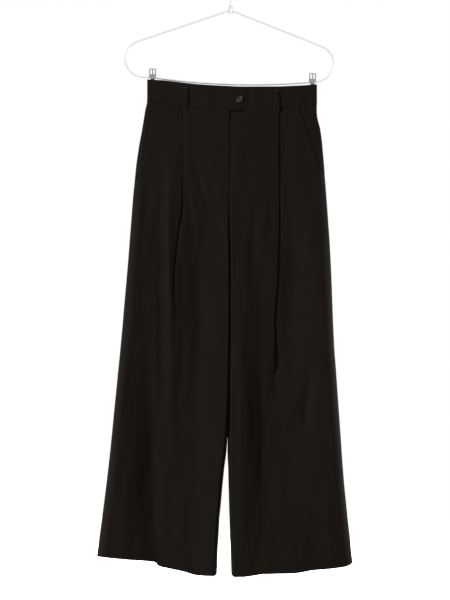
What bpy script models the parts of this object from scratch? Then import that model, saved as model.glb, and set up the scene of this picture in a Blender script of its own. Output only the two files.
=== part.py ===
"""Flared trousers hanging from a wire clip hanger.

Metres, +Z up, the front faces -Y and the wearer's left is at +X. The origin is the inside top of the
hanger's hook. The cloth pieces are walls lofted through sections worked out from the tables below, which
are in the garment's own frame: x from the hook, height below it, depth from the garment's mid-plane.
"""

import math
from collections import namedtuple

import bmesh
import bpy
import numpy as np

# Cloth
CLOTH = 0.0012
BAND_CLOTH = 0.0020
LOOP_CLOTH = 0.0016
SEAM_GAP = 0.0003
SIDE_SEAM_GAP = 0.0005
WAIST_SEAM_GAP = 0.0005
EDGE_RUN = 0.0008

# The garment hangs a little to the wearer's right of the hook, and its back waistband is in the clips
GARMENT_PLACE = (-0.0030, -0.0056, 0.0)
HEM_MIDDLE = -1.250
POCKET_END = -0.444
POCKET_CORNER = 0.004
CROTCH = -0.549
CROTCH_CURVE_START = -0.395
BACK_HEM_RISE = 0.004

# How the garment's section is rounded: over a few millimetres at the waist's sides and more at the hips',
# flatter over the middle of the hips, and tucked in along the crotch curve and the inseams
WAIST_SIDE_ROUND = 0.0045
HIP_SIDE_ROUND = 0.0180
SIDE_ROUND_TOP = -0.270
SIDE_ROUND_RUN = 0.250
MIDDLE_FLATTENING = 0.35
FLATTENING_RUN = 0.200
CROTCH_ROUND = 0.012
INSEAM_ROUND = 0.022
INNER_ROUND_TOP = -0.450
INNER_ROUND_RUN = 0.200
CROTCH_CURVE_POWER = 2.4

# Front closing
TAB_END = 0.0374
TAB_CLEAR = 0.010
TAB_STEP = 0.001
UNDERLAP_END = -0.014
UNDERLAP_DEPTH = 0.0027
FLY_STEP = 0.0015
FLY_STEP_WIDTH = 0.022
FLY_STEP_FLAT = 0.004
FLY_END = -0.460
FLY_END_RUN = 0.030
ZIP_HALF_WIDTH = 0.014
ZIP_MIDDLE = -0.350
ZIP_BELOW_SEAM = 0.003
ZIP_ABOVE_END = 0.012
BUTTON_PLACE = (0.0200, -0.2640)
BUTTON_RADIUS = 0.0074
BUTTON_THICKNESS = 0.0030
BUTTON_STANDOFF = 0.0006
BUTTON_HOLE_RADIUS = 0.0009
BUTTON_HOLE_SPREAD = 0.0016
BUTTON_STEPS = 28

# Belt loops, which arch just off the waistband
LOOP_WIDTH = 0.0128
LOOP_ARCH = 0.0022
LOOP_FULLNESS = 0.6
LOOP_BELOW_TOP = 0.0062
LOOP_PAST_SEAM = 0.0045
Loop = namedtuple("Loop", "name x face lean")
LOOPS = (
    Loop("right", -0.0945, -1, 0.0),
    Loop("left", 0.0970, -1, math.radians(-3)),
    Loop("back", 0.0065, 1, 0.0),
)

# Slant pockets: the facing lies under the cut edge of the front
FACING_DROP = 0.0026
FACING_UNDERLAP = 0.012
FACING_CLOSENESS = 1.8

# Hanger, in its own frame, which leans about the hook
HANGER_LEAN = math.radians(1.4)
WIRE_RADIUS = 0.0018
HOOK_RADIUS = 0.020
HOOK_TIP_ANGLE = math.radians(205)
HOOK_NECK_ANGLE = math.radians(-48)
STEM_TOP = -0.056
NECK_TOP = -0.068
NECK_HEIGHT = 0.016
NECK_RADIUS = 0.0050
NECK_EDGE = 0.0012
SHOULDER_BELOW_NECK_TOP = 0.0088
SHOULDER_SLOPE = math.radians(18.6)
HANGER_HALF_WIDTH = 0.2187
BAR_HEIGHT = -0.2217
BAR_SAG = 0.0105
BAR_SAG_MIDDLE = 0.014
BAR_HALF_SPAN = 0.176
BEND_RADIUS = 0.0385
CLIP_PLACES = {"right": -0.1603, "left": 0.1756}
CLIP_PLATE = 0.0010
JAW_HALF_GAP = BAND_CLOTH / 2 + SEAM_GAP + 0.0004
AROUND_BAR = WIRE_RADIUS + SEAM_GAP

Leg = namedtuple("Leg", "name sign")
RIGHT = Leg("right", -1)
LEFT = Leg("left", 1)
LEGS = (RIGHT, LEFT)


def table(columns, *rows):
    """The columns of a short table by name, one row of it for each section or fold."""
    return dict(zip(columns.split(), np.array(rows, float).T))


# Outline of the garment: where the two sides and the middle line are, the room between the legs,
# and how far the cloth stands from the mid-plane.
BODY = table(
    "height right left middle leg_gap depth",
    (-1.2650, -0.2855, 0.2610, -0.0125, 0.0305, 0.0350),
    (-1.1680, -0.2721, 0.2500, -0.0119, 0.0233, 0.0335),
    (-1.1050, -0.2638, 0.2432, -0.0103, 0.0164, 0.0330),
    (-1.0420, -0.2561, 0.2374, -0.0081, 0.0090, 0.0325),
    (-0.9810, -0.2495, 0.2331, -0.0054, 0.0016, 0.0320),
    (-0.7690, -0.2285, 0.2182, -0.0042, 0.0012, 0.0300),
    (-0.6010, -0.2138, 0.2113, -0.0035, 0.0008, 0.0290),
    (-0.5170, -0.2073, 0.2060, -0.0033, 0.0005, 0.0265),
    (-0.4330, -0.1999, 0.1997, -0.0030, 0.0003, 0.0225),
    (-0.3700, -0.1922, 0.1947, -0.0026, 0.0003, 0.0185),
    (-0.3280, -0.1847, 0.1898, -0.0023, 0.0003, 0.0150),
    (-0.2860, -0.1779, 0.1823, -0.0021, 0.0003, 0.0115),
    (-0.2630, -0.1741, 0.1825, -0.0021, 0.0003, 0.0105),
    (-0.2200, -0.1739, 0.1827, -0.0021, 0.0003, 0.0090),
)

# The waistband's top edges, the front's and the back's, which shows above it, and the seam under them
WAIST = table(
    "x top back_top seam",
    (-0.1745, -0.2222, -0.2222, -0.2632),
    (-0.1386, -0.2246, -0.2236, -0.2703),
    (-0.1008, -0.2311, -0.2281, -0.2772),
    (-0.0420, -0.2367, -0.2334, -0.2825),
    (0.0000, -0.2386, -0.2355, -0.2863),
    (0.0305, -0.2394, -0.2366, -0.2871),
    (0.0870, -0.2386, -0.2364, -0.2850),
    (0.1344, -0.2358, -0.2350, -0.2791),
    (0.1825, -0.2325, -0.2325, -0.2758),
)

# The two hems, each from the wearer's right to left
HEMS = {
    "right": table(
        "x height",
        (-0.2793, -1.2230),
        (-0.2100, -1.2300),
        (-0.1590, -1.2350),
        (-0.1520, -1.2435),
        (-0.0560, -1.2640),
        (-0.0275, -1.2610),
    ),
    "left": table(
        "x height",
        (0.0025, -1.2620),
        (0.0180, -1.2665),
        (0.0714, -1.2607),
        (0.1280, -1.2590),
        (0.1720, -1.2525),
        (0.2396, -1.2447),
        (0.2583, -1.2370),
    ),
}

# The lines of the slant pockets' edges, which start at the waist seam
POCKETS = {
    "right": table("height x", (-0.4470, -0.1997), (-0.2701, -0.1371)),
    "left": table("height x", (-0.4530, 0.2016), (-0.2783, 0.1430)),
}

# Where a pleat's step ends on the cloth that turns round the side, as a part of the garment's depth
PLEAT_FADE = 0.6

# Front pleats: the folded edge points to the side. Its lap closes downwards, then the curl of the fold
# opens, and the step that is left fades out. The crevice is the hollow just outside the edge.
PLEATS = {
    "right": table(
        "height x lap curl step crevice",
        (-1.2650, -0.1130, 0.0000, 0.0, 0.0, 0.0000),
        (-0.9000, -0.1130, 0.0000, 0.0, 0.0, 0.0000),
        (-0.8000, -0.1155, 0.0000, 0.0, 1.0, 0.0030),
        (-0.7000, -0.1190, 0.0000, 0.6, 1.0, 0.0080),
        (-0.6300, -0.1150, 0.0010, 1.0, 1.0, 0.0090),
        (-0.4750, -0.1012, 0.0100, 1.0, 1.0, 0.0030),
        (-0.2700, -0.1008, 0.0150, 1.0, 1.0, 0.0000),
    ),
    "left": table(
        "height x lap curl step crevice",
        (-1.2650, 0.0880, 0.0000, 0.0, 0.0, 0.0000),
        (-0.9200, 0.0880, 0.0000, 0.0, 0.0, 0.0000),
        (-0.8500, 0.0890, 0.0000, 0.0, 1.0, 0.0030),
        (-0.7900, 0.0955, 0.0000, 0.7, 1.0, 0.0060),
        (-0.7300, 0.0975, 0.0010, 1.0, 1.0, 0.0070),
        (-0.4750, 0.1008, 0.0110, 1.0, 1.0, 0.0040),
        (-0.2700, 0.1008, 0.0150, 1.0, 1.0, 0.0000),
    ),
}

# Largest soft folds. Each runs through three places, is strongest at the middle one, and stands out
# where its rise is positive.
FOLD_COLUMNS = "top top_x middle middle_x bottom bottom_x half_width rise"
FRONT_FOLDS = table(
    FOLD_COLUMNS,
    (-0.300, -0.1400, -0.620, -0.1400, -0.975, -0.1290, 0.0095, 0.0060),
    (-0.500, -0.1700, -1.060, -0.1910, -1.420, -0.1580, 0.0170, -0.0110),
    (-0.540, -0.0380, -1.180, -0.0570, -1.500, -0.0600, 0.0250, 0.0075),
    (-0.780, -0.1030, -1.060, -0.1050, -1.400, -0.1150, 0.0190, -0.0050),
    (-1.000, -0.1300, -1.160, -0.1340, -1.400, -0.1340, 0.0120, 0.0045),
    (-0.530, 0.0200, -0.930, 0.0220, -1.400, 0.0270, 0.0120, 0.0040),
    (-0.620, 0.0420, -0.960, 0.0557, -1.190, 0.0500, 0.0110, -0.0095),
    (-0.850, 0.0800, -1.060, 0.0960, -1.350, 0.1000, 0.0190, -0.0045),
    (-0.330, 0.1500, -0.900, 0.1600, -1.450, 0.1850, 0.0400, 0.0060),
    (-0.810, 0.1730, -0.895, 0.1600, -0.970, 0.1320, 0.0090, -0.0040),
)
BACK_FOLDS = table(
    FOLD_COLUMNS,
    (-0.420, -0.1050, -0.800, -0.1150, -1.420, -0.1500, 0.0240, 0.0080),
    (-0.560, -0.0550, -1.000, -0.0700, -1.400, -0.0850, 0.0180, -0.0080),
    (-0.640, -0.1750, -1.080, -0.1950, -1.420, -0.2100, 0.0170, -0.0070),
    (-0.430, 0.1100, -0.850, 0.1150, -1.420, 0.1350, 0.0260, 0.0080),
    (-0.560, 0.0500, -0.930, 0.0620, -1.300, 0.0700, 0.0160, -0.0085),
    (-0.700, 0.1650, -1.100, 0.1800, -1.450, 0.1950, 0.0180, -0.0070),
)


# The button's outline from the middle of its face round to its back, as parts of its radius and thickness
BUTTON_PROFILE = table(
    "radius height",
    (0.00, 0.62),
    (0.55, 0.64),
    (0.70, 0.92),
    (0.82, 1.00),
    (0.95, 0.86),
    (1.00, 0.60),
    (0.96, 0.30),
    (0.78, 0.00),
    (0.00, 0.00),
)

# A clip's lever from its jaw up to its handle: the height above the bar, how far its inner face stands
# from the wire's plane, and the part of its full width. Its columns leave a window between three bars.
LEVER = table(
    "up out wide",
    (-0.0130, JAW_HALF_GAP, 0.62),
    (-0.0050, JAW_HALF_GAP, 0.62),
    (-0.0024, AROUND_BAR, 0.66),
    (0.0025, AROUND_BAR, 1.00),
    (0.0065, AROUND_BAR + 0.0016, 1.00),
    (0.0155, AROUND_BAR + 0.0048, 1.00),
    (0.0185, AROUND_BAR + 0.0056, 0.94),
)
LEVER_COLUMNS = np.array((-0.0073, -0.0049, -0.0013, 0.0013, 0.0049, 0.0073))
WINDOW_ACROSS = (LEVER_COLUMNS[3], LEVER_COLUMNS[4])
WINDOW_UP = (LEVER["up"][4], LEVER["up"][5])


# ---------------------------------------------------------------- curves and surfaces of the garment


def read(columns, name, at, by="height"):
    """A column of a table at the given heights, on a smooth curve that never overshoots its rows."""
    places = columns[by]
    values = columns[name]
    steps = np.diff(places)
    slopes = np.diff(values) / steps
    tangents = np.zeros_like(values)
    agree = slopes[:-1] * slopes[1:] > 0
    tangents[1:-1][agree] = 2 * (slopes[:-1] * slopes[1:])[agree] / (slopes[:-1] + slopes[1:])[agree]
    tangents[0] = slopes[0]
    tangents[-1] = slopes[-1]
    at = np.clip(at, places[0], places[-1])
    row = np.clip(np.searchsorted(places, at, side="right") - 1, 0, len(steps) - 1)
    part = (at - places[row]) / steps[row]
    start = values[row] + part * steps[row] * tangents[row]
    end = values[row + 1] - (1 - part) * steps[row] * tangents[row + 1]
    blend = part * part * (3 - 2 * part)
    return start * (1 - blend) + end * blend


def ease(part):
    """0 to 1, starting and ending level."""
    part = np.clip(part, 0.0, 1.0)
    return part * part * (3 - 2 * part)


def quarter_round(part):
    """Height of a quarter ellipse at a part of its width: 0 at its edge, 1 from its full width on."""
    return np.sqrt(1 - (1 - np.clip(part, 0.0, 1.0)) ** 2)


def side_x(leg, height):
    return read(BODY, leg.name, height)


def inner_x(leg, height):
    """The panel's edge at the middle: the rise seam above the crotch, the inseam below it."""
    return read(BODY, "middle", height) + leg.sign * 0.5 * read(BODY, "leg_gap", height)


def soft_folds(folds, x, height):
    """Sum of the soft folds at each point."""
    total = np.zeros(np.broadcast(x, height).shape)
    for row in range(len(folds["rise"])):
        fold = {name: folds[name][row] for name in FOLD_COLUMNS.split()}
        line = table(
            "height x",
            (fold["bottom"], fold["bottom_x"]),
            (fold["middle"], fold["middle_x"]),
            (fold["top"], fold["top_x"]),
        )
        fade_in = ease((fold["top"] - height) / (fold["top"] - fold["middle"]))
        fade_out = ease((height - fold["bottom"]) / (fold["middle"] - fold["bottom"]))
        across = (x - read(line, "x", height)) / fold["half_width"]
        total = total + fold["rise"] * fade_in * fade_out * np.exp(-across * across)
    return total


def side_round(height):
    """Width over which the cloth turns round the garment's side."""
    below = ease((SIDE_ROUND_TOP - height) / SIDE_ROUND_RUN)
    return WAIST_SIDE_ROUND + (HIP_SIDE_ROUND - WAIST_SIDE_ROUND) * below


def stand_off(leg, x, height, folds=None):
    """How far the cloth's outer face stands from the garment's mid-plane."""
    from_middle = np.clip(np.abs(x / side_x(leg, height)), 0, 1)
    flattening = MIDDLE_FLATTENING * ease((height - CROTCH) / FLATTENING_RUN)
    lens = 1 - flattening * (1 - np.cos(np.pi * from_middle)) / 2
    down_leg = ease((INNER_ROUND_TOP - height) / INNER_ROUND_RUN)
    inner_round = CROTCH_ROUND + (INSEAM_ROUND - CROTCH_ROUND) * down_leg
    part = np.clip((CROTCH_CURVE_START - height) / (CROTCH_CURVE_START - CROTCH), 0, 1)
    tuck = 1 - np.sqrt(1 - part**CROTCH_CURVE_POWER)
    from_side = np.abs(x - side_x(leg, height))
    from_inner = np.abs(x - inner_x(leg, height))
    inner = 1 - tuck + tuck * quarter_round(from_inner / inner_round)
    depth = read(BODY, "depth", height) * lens
    if folds is not None:
        depth = depth + soft_folds(folds, x, height)
    return depth * quarter_round(from_side / side_round(height)) * inner


# Columns across a panel: close together on a rounded edge, then evenly spaced. The first two are at the
# same place, because a seam's edge runs straight inwards from the outline.
EDGE_COLUMNS = (0.0, 0.0, 0.008, 0.035, 0.095)
FIRST_EVEN_COLUMN = 0.19
FRONT_SIDE_COLUMNS = 5
FRONT_MIDDLE_COLUMNS = 7
BACK_HALF_COLUMNS = 4
FACING_COLUMNS = 9
FACING_ROWS = 10
BAND_EDGE_COLUMNS = np.array((0.0, 0.0, 0.0006, 0.0020, 0.0045))
BAND_FIRST_EVEN = 0.011
BAND_LEVEL = -0.240


def edge_spacing(even):
    """Parts of a width from a rounded edge inwards."""
    return np.concatenate((EDGE_COLUMNS, np.linspace(FIRST_EVEN_COLUMN, 1, even)))


def from_seam(depth):
    """The depths of a grid whose first column is a side seam, on the mid-plane but for half the gap."""
    depth = np.maximum(depth, EDGE_RUN)
    depth[:, 0] = 0
    return depth + SIDE_SEAM_GAP / 2


# A panel's rows, from the waist seam down: along the pocket, closer together towards the crotch, and
# evenly down the leg to the hem
POCKET_ROWS = 5
CROTCH_ROWS = (-0.472, -0.500, -0.526, -0.541, CROTCH)
LEG_TOP_ROW = -0.585
LEG_ROWS = 15
PATTERN_ROUNDS = 4


def row_parts():
    """Where a panel's rows lie between the waist seam and the hem."""
    top = read(WAIST, "seam", 0.0, "x")
    pocket_rows = np.linspace(top, POCKET_END, POCKET_ROWS)
    leg_rows = np.linspace(LEG_TOP_ROW, HEM_MIDDLE, LEG_ROWS)
    heights = np.concatenate((pocket_rows, (POCKET_END - POCKET_CORNER,), CROTCH_ROWS, leg_rows))
    return (heights - top) / (HEM_MIDDLE - top)


def hung_between(leg, across, columns, hem_rise):
    """Heights of a panel's grid, rows from hem to waist seam: both ends follow their own curves."""
    top = np.full((1, columns), read(WAIST, "seam", 0.0, "x"))
    hem = np.full((1, columns), HEM_MIDDLE)
    for _ in range(PATTERN_ROUNDS):
        top = read(WAIST, "seam", across(top, True), "x") - WAIST_SEAM_GAP
        hem = read(HEMS[leg.name], "height", across(hem, False), "x") + hem_rise
    return top + (hem - top) * row_parts()[::-1, None]


# The points that go round a pleat, from the side on: how far each is towards the middle while the fold
# is curled, for a share of the lap, how far inwards, and the same for the step that is left when it opens
PLEAT_TURN = 2 * CLOTH + SEAM_GAP
PLEAT_TUCK = 2 * SEAM_GAP
INNER_TURN = np.radians(np.linspace(-90, 90, 4))
OUTER_TURN = np.radians(np.linspace(-90, 90, 5))
PLEAT_AT = np.concatenate(
    (
        (-0.004, 0.0, 0.0),
        np.cos(INNER_TURN) * PLEAT_TUCK / 2,
        (0.0,),
        -np.cos(OUTER_TURN) * PLEAT_TURN / 2,
        (0.006,),
    )
)
PLEAT_LAP_SHARE = np.concatenate(((0.0, 0.2, 0.6), np.ones(4), (0.5,), np.zeros(5), (0.5,)))
PLEAT_IN = np.concatenate(
    (
        np.full(3, PLEAT_TURN + PLEAT_TUCK),
        PLEAT_TURN + PLEAT_TUCK / 2 - np.sin(INNER_TURN) * PLEAT_TUCK / 2,
        (PLEAT_TURN,),
        PLEAT_TURN / 2 - np.sin(OUTER_TURN) * PLEAT_TURN / 2,
        (0.0,),
    )
)
OPEN_AT = np.linspace(-0.008, 0.012, len(PLEAT_AT))
STEP_REACH = 0.030
CREVICE_REACH = 0.009
OPEN_IN = (PLEAT_TURN + PLEAT_TUCK) * (1 - ease(np.linspace(0, 1, len(PLEAT_AT))))


def pleat_offset(leg, height, point):
    """How far towards the middle of its edge a point of the pleat is."""
    lap = read(PLEATS[leg.name], "lap", height)
    curl = read(PLEATS[leg.name], "curl", height)
    return curl * (PLEAT_AT[point] + PLEAT_LAP_SHARE[point] * lap) + (1 - curl) * OPEN_AT[point]


def pleat_inwards(leg, height, point):
    """How far below the plain surface a point of the pleat is."""
    curl = read(PLEATS[leg.name], "curl", height)
    step = read(PLEATS[leg.name], "step", height)
    return step * (curl * PLEAT_IN[point] + (1 - curl) * OPEN_IN[point])


def beyond_pleat(leg, x, height):
    """How far below the plain surface the cloth outside a pleat's edge is: the step and the crevice."""
    edge = read(PLEATS[leg.name], "x", height)
    away = np.clip(leg.sign * (x - edge), 0, None)
    step = pleat_inwards(leg, height, 0) * np.exp(-((away / STEP_REACH) ** 2))
    hollow = away / CREVICE_REACH
    return step + read(PLEATS[leg.name], "crevice", height) * hollow * np.exp(1 - hollow)


def fly_step(leg, x, height):
    """The left front lies a little deeper beside the fly, so that the right front's edge shows."""
    if leg is RIGHT:
        return 0.0
    beside = 1 - ease((np.abs(x - inner_x(leg, height)) - FLY_STEP_FLAT) / FLY_STEP_WIDTH)
    return FLY_STEP * beside * ease((height - FLY_END) / FLY_END_RUN)


def front_grid(leg):
    """Outer face of a front: columns from the pocket edge or side seam, round the pleat, to the middle."""
    side_parts = edge_spacing(FRONT_SIDE_COLUMNS)[:-1]
    middle_parts = 1 - edge_spacing(FRONT_MIDDLE_COLUMNS)[::-1][1:-1]
    round_pleat = np.arange(len(PLEAT_AT))
    before = len(side_parts)
    after = before + len(round_pleat)
    pocket = POCKETS[leg.name]

    def across(height, in_pocket):
        side = side_x(leg, height)
        cut = np.where(in_pocket, np.abs(side - read(pocket, "x", height)), 0.0)
        edge = np.abs(side - read(PLEATS[leg.name], "x", height))
        width = np.abs(side - inner_x(leg, height))
        start = edge + pleat_offset(leg, height, 0)
        end = edge + pleat_offset(leg, height, -1)
        distance = np.empty_like(height)
        distance[:, :before] = cut[:, :before] + (start - cut)[:, :before] * side_parts
        distance[:, 1] += np.minimum(cut[:, 1], EDGE_RUN)
        folded = height[:, before:after]
        distance[:, before:after] = edge[:, before:after] + pleat_offset(leg, folded, round_pleat)
        distance[:, after:] = end[:, after:] + (width - end)[:, after:] * middle_parts
        return side - leg.sign * distance

    height = hung_between(leg, across, after + len(middle_parts), 0.0)
    in_pocket = np.arange(len(height)) >= len(height) - POCKET_ROWS
    x = across(height, in_pocket[:, None])
    inwards = fly_step(leg, x, height) + np.zeros_like(x)
    inwards[:, :before] += beyond_pleat(leg, x, height)[:, :before]
    inwards[:, before:after] += pleat_inwards(leg, height[:, before:after], round_pleat)
    depth = stand_off(leg, x, height, FRONT_FOLDS)
    flat = np.clip(depth / (PLEAT_FADE * read(BODY, "depth", height)), 0, 1)
    depth = depth - inwards * flat
    closed = from_seam(depth)
    closed[in_pocket, :2] = depth[in_pocket, :2] + SIDE_SEAM_GAP / 2
    closed[:, -1] = depth[:, -1] + SIDE_SEAM_GAP / 2
    return np.stack((x, -closed, height), axis=-1)


def back_grid(leg):
    """Outer face of a back: columns from the side seam to the middle, closer together at both edges."""
    half = edge_spacing(BACK_HALF_COLUMNS) / 2
    part = np.concatenate((half, 1 - half[::-1][1:-1]))

    def across(height, _):
        return side_x(leg, height) + (inner_x(leg, height) - side_x(leg, height)) * part

    height = hung_between(leg, across, len(part), BACK_HEM_RISE)
    x = across(height, None)
    depth = stand_off(leg, x, height, BACK_FOLDS)
    closed = from_seam(depth)
    closed[:, -1] = depth[:, -1] + SIDE_SEAM_GAP / 2
    return np.stack((x, closed, height), axis=-1)


def facing_grid(leg, front):
    """Outer face of a pocket facing, from the side seam to just under the cut edge of the front."""
    pocket = POCKETS[leg.name]
    bottom = front[-POCKET_ROWS, 0, 2] + 2 * SEAM_GAP
    part = np.concatenate(((0.0,), np.linspace(0, 1, FACING_COLUMNS) ** FACING_CLOSENESS))

    def across(height):
        width = np.abs(side_x(leg, height) - read(pocket, "x", height)) + FACING_UNDERLAP
        return side_x(leg, height) - leg.sign * width * part

    top = np.full((1, len(part)), read(WAIST, "seam", 0.0, "x"))
    for _ in range(PATTERN_ROUNDS):
        top = read(WAIST, "seam", across(top), "x") - WAIST_SEAM_GAP
    height = bottom + (top - bottom) * np.linspace(0, 1, FACING_ROWS)[:, None]
    over = across(height)
    depth = stand_off(leg, over, height, FRONT_FOLDS) - beyond_pleat(leg, over, height)
    from_side = np.abs(over - side_x(leg, height))
    depth = depth - FACING_DROP * quarter_round(from_side / side_round(height))
    x = over - leg.sign * FACING_DROP
    return np.stack((x, -from_seam(depth), height), axis=-1)


def band_columns(end, towards, even):
    """Places along a waistband from a side seam, close together where it turns round the side."""
    way = np.sign(towards - end)
    near = end + way * BAND_EDGE_COLUMNS
    return np.concatenate((near, np.linspace(end + way * BAND_FIRST_EVEN, towards, even)))


def band_grid(x, face, rows=4, inwards=0.0):
    """Outer face of a waistband piece at the given x, on the front (-1) or the back (1)."""
    bottom = read(WAIST, "seam", x, "x")
    if face > 0:
        top = np.minimum(read(WAIST, "back_top", x, "x"), under_bar(x) - 2 * SEAM_GAP)
    else:
        top = read(WAIST, "top", x, "x")
    height = bottom + (top - bottom) * np.linspace(0, 1, rows)[:, None]
    place = np.broadcast_to(x, height.shape)
    depth = np.where(
        place < 0,
        stand_off(RIGHT, np.clip(place, side_x(RIGHT, height), 0), height),
        stand_off(LEFT, np.clip(place, 0, side_x(LEFT, height)), height),
    )
    closed = from_seam(depth - inwards)
    if face > 0:
        closed[:, -1] = closed[:, 0]
    return np.stack((place, face * closed, height), axis=-1)


# ---------------------------------------------------------------------------------- building helpers


def clear_scene():
    for item in list(bpy.data.objects):
        bpy.data.objects.remove(item, do_unlink=True)


def new_collection(name):
    collection = bpy.data.collections.new(name)
    bpy.context.scene.collection.children.link(collection)
    return collection


def new_material(name, colour, roughness, metallic=0.0):
    material = bpy.data.materials.new(name)
    material.use_nodes = True
    shader = material.node_tree.nodes["Principled BSDF"]
    shader.inputs["Base Color"].default_value = (*colour, 1)
    shader.inputs["Roughness"].default_value = roughness
    shader.inputs["Metallic"].default_value = metallic
    return material


def add_object(name, data, collection, parent, material):
    item = bpy.data.objects.new(name, data)
    collection.objects.link(item)
    item.parent = parent
    data.materials.append(material)
    return item


def add_empty(name, collection, location=(0, 0, 0)):
    empty = bpy.data.objects.new(name, None)
    empty.location = location
    collection.objects.link(empty)
    return empty


def sheet_mesh(name, points, facing):
    """A grid through points[row, column], its normals towards the front (-1) or the back (1)."""
    if (points[0, -1, 0] - points[0, 0, 0]) * facing > 0:
        points = points[:, ::-1]
    rows, columns = points.shape[:2]
    form = bmesh.new()
    bmesh.ops.create_grid(form, x_segments=columns - 1, y_segments=rows - 1, size=0.5)
    form.verts.ensure_lookup_table()
    for vertex, place in zip(form.verts, points.reshape(-1, 3)):
        vertex.co = place
    mesh = bpy.data.meshes.new(name)
    form.to_mesh(mesh)
    form.free()
    mesh.shade_smooth()
    return mesh


def thicken(item, thickness):
    solid = item.modifiers.new("Wall", "SOLIDIFY")
    solid.thickness = thickness
    solid.offset = -1
    return item


def add_cloth(name, points, facing, thickness, collection, parent, material):
    item = add_object(name, sheet_mesh(name, points, facing), collection, parent, material)
    return thicken(item, thickness)


def add_wire(name, points, radius, collection, parent, material):
    curve = bpy.data.curves.new(name, "CURVE")
    curve.dimensions = "3D"
    curve.bevel_depth = radius
    curve.bevel_resolution = 2
    curve.use_fill_caps = True
    spline = curve.splines.new("POLY")
    spline.points.add(len(points) - 1)
    for point, place in zip(spline.points, points):
        point.co = (*place, 1)
    return add_object(name, curve, collection, parent, material)


# -------------------------------------------------------------------------------------- the garment


def build_panels(collection, parent, cloth):
    for leg in LEGS:
        front = front_grid(leg)
        back = back_grid(leg)
        add_cloth(f"front_{leg.name}", front, -1, CLOTH, collection, parent, cloth)
        add_cloth(f"back_{leg.name}", back, 1, CLOTH, collection, parent, cloth)
        facing = facing_grid(leg, front)
        add_cloth(f"pocket_facing_{leg.name}", facing, -1, CLOTH, collection, parent, cloth)


def build_waistband(collection, parent, cloth):
    right_end = side_x(RIGHT, BAND_LEVEL)
    left_end = side_x(LEFT, BAND_LEVEL)
    right_x = band_columns(right_end, TAB_END, 10)
    add_cloth("waistband_right", band_grid(right_x, -1), -1, BAND_CLOTH, collection, parent, cloth)
    to_tab = band_columns(left_end, TAB_END + TAB_CLEAR, 8)
    goes_under = (TAB_END + TAB_CLEAR / 2,)
    under_tab = np.linspace(TAB_END + TAB_STEP, UNDERLAP_END, 4)
    left_x = np.concatenate((to_tab, goes_under, under_tab))
    under = UNDERLAP_DEPTH * ease((TAB_END + TAB_CLEAR - left_x) / (TAB_CLEAR - TAB_STEP))
    left = band_grid(left_x, -1, inwards=under)
    add_cloth("waistband_left", left, -1, BAND_CLOTH, collection, parent, cloth)
    middle = (left_end + right_end) / 2
    to_middle = band_columns(right_end, middle, 8)
    from_middle = band_columns(left_end, middle, 8)[::-1]
    back_x = np.concatenate((to_middle, from_middle[1:]))
    add_cloth("waistband_back", band_grid(back_x, 1), 1, BAND_CLOTH, collection, parent, cloth)


def loop_grid(loop):
    """Outer face of a belt loop laid on the waistband: its ends touch down, its middle arches off."""
    top = read(WAIST, "top", loop.x, "x") - LOOP_BELOW_TOP
    bottom = read(WAIST, "seam", loop.x, "x") - LOOP_PAST_SEAM
    part = np.linspace(0, 1, 9)[:, None]
    offset = np.linspace(-0.5, 0.5, 4) * LOOP_WIDTH
    height = bottom + (top - bottom) * part + 0 * offset
    across = loop.x + offset + (height - (top + bottom) / 2) * math.tan(loop.lean)
    leg = RIGHT if loop.x < 0 else LEFT
    arch = LOOP_ARCH * np.sin(np.pi * part) ** LOOP_FULLNESS
    lift = SEAM_GAP + LOOP_CLOTH + arch
    depth = stand_off(leg, across, height) + lift + SIDE_SEAM_GAP / 2
    return np.stack((across, loop.face * depth, height), axis=-1)


def build_loops(collection, parent, cloth):
    for loop in LOOPS:
        name = f"belt_loop_{loop.name}"
        add_cloth(name, loop_grid(loop), loop.face, LOOP_CLOTH, collection, parent, cloth)


def build_fly_zip(collection, parent, tape):
    """The closed zip's tape behind the fly, clear of both fronts."""
    middle = read(BODY, "middle", ZIP_MIDDLE)
    top = read(WAIST, "seam", 0.0, "x") - ZIP_BELOW_SEAM
    along = np.linspace(FLY_END + ZIP_ABOVE_END, top, 8)
    across = middle + np.linspace(-ZIP_HALF_WIDTH, ZIP_HALF_WIDTH, 6)
    x, height = np.meshgrid(across, along)
    depth = np.where(x < middle, stand_off(RIGHT, x, height), stand_off(LEFT, x, height))
    inwards = FLY_STEP + CLOTH + 2 * SEAM_GAP
    points = np.stack((x, -(depth - inwards), height), axis=-1)
    add_cloth("fly_zip", points, -1, CLOTH, collection, parent, tape)


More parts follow.
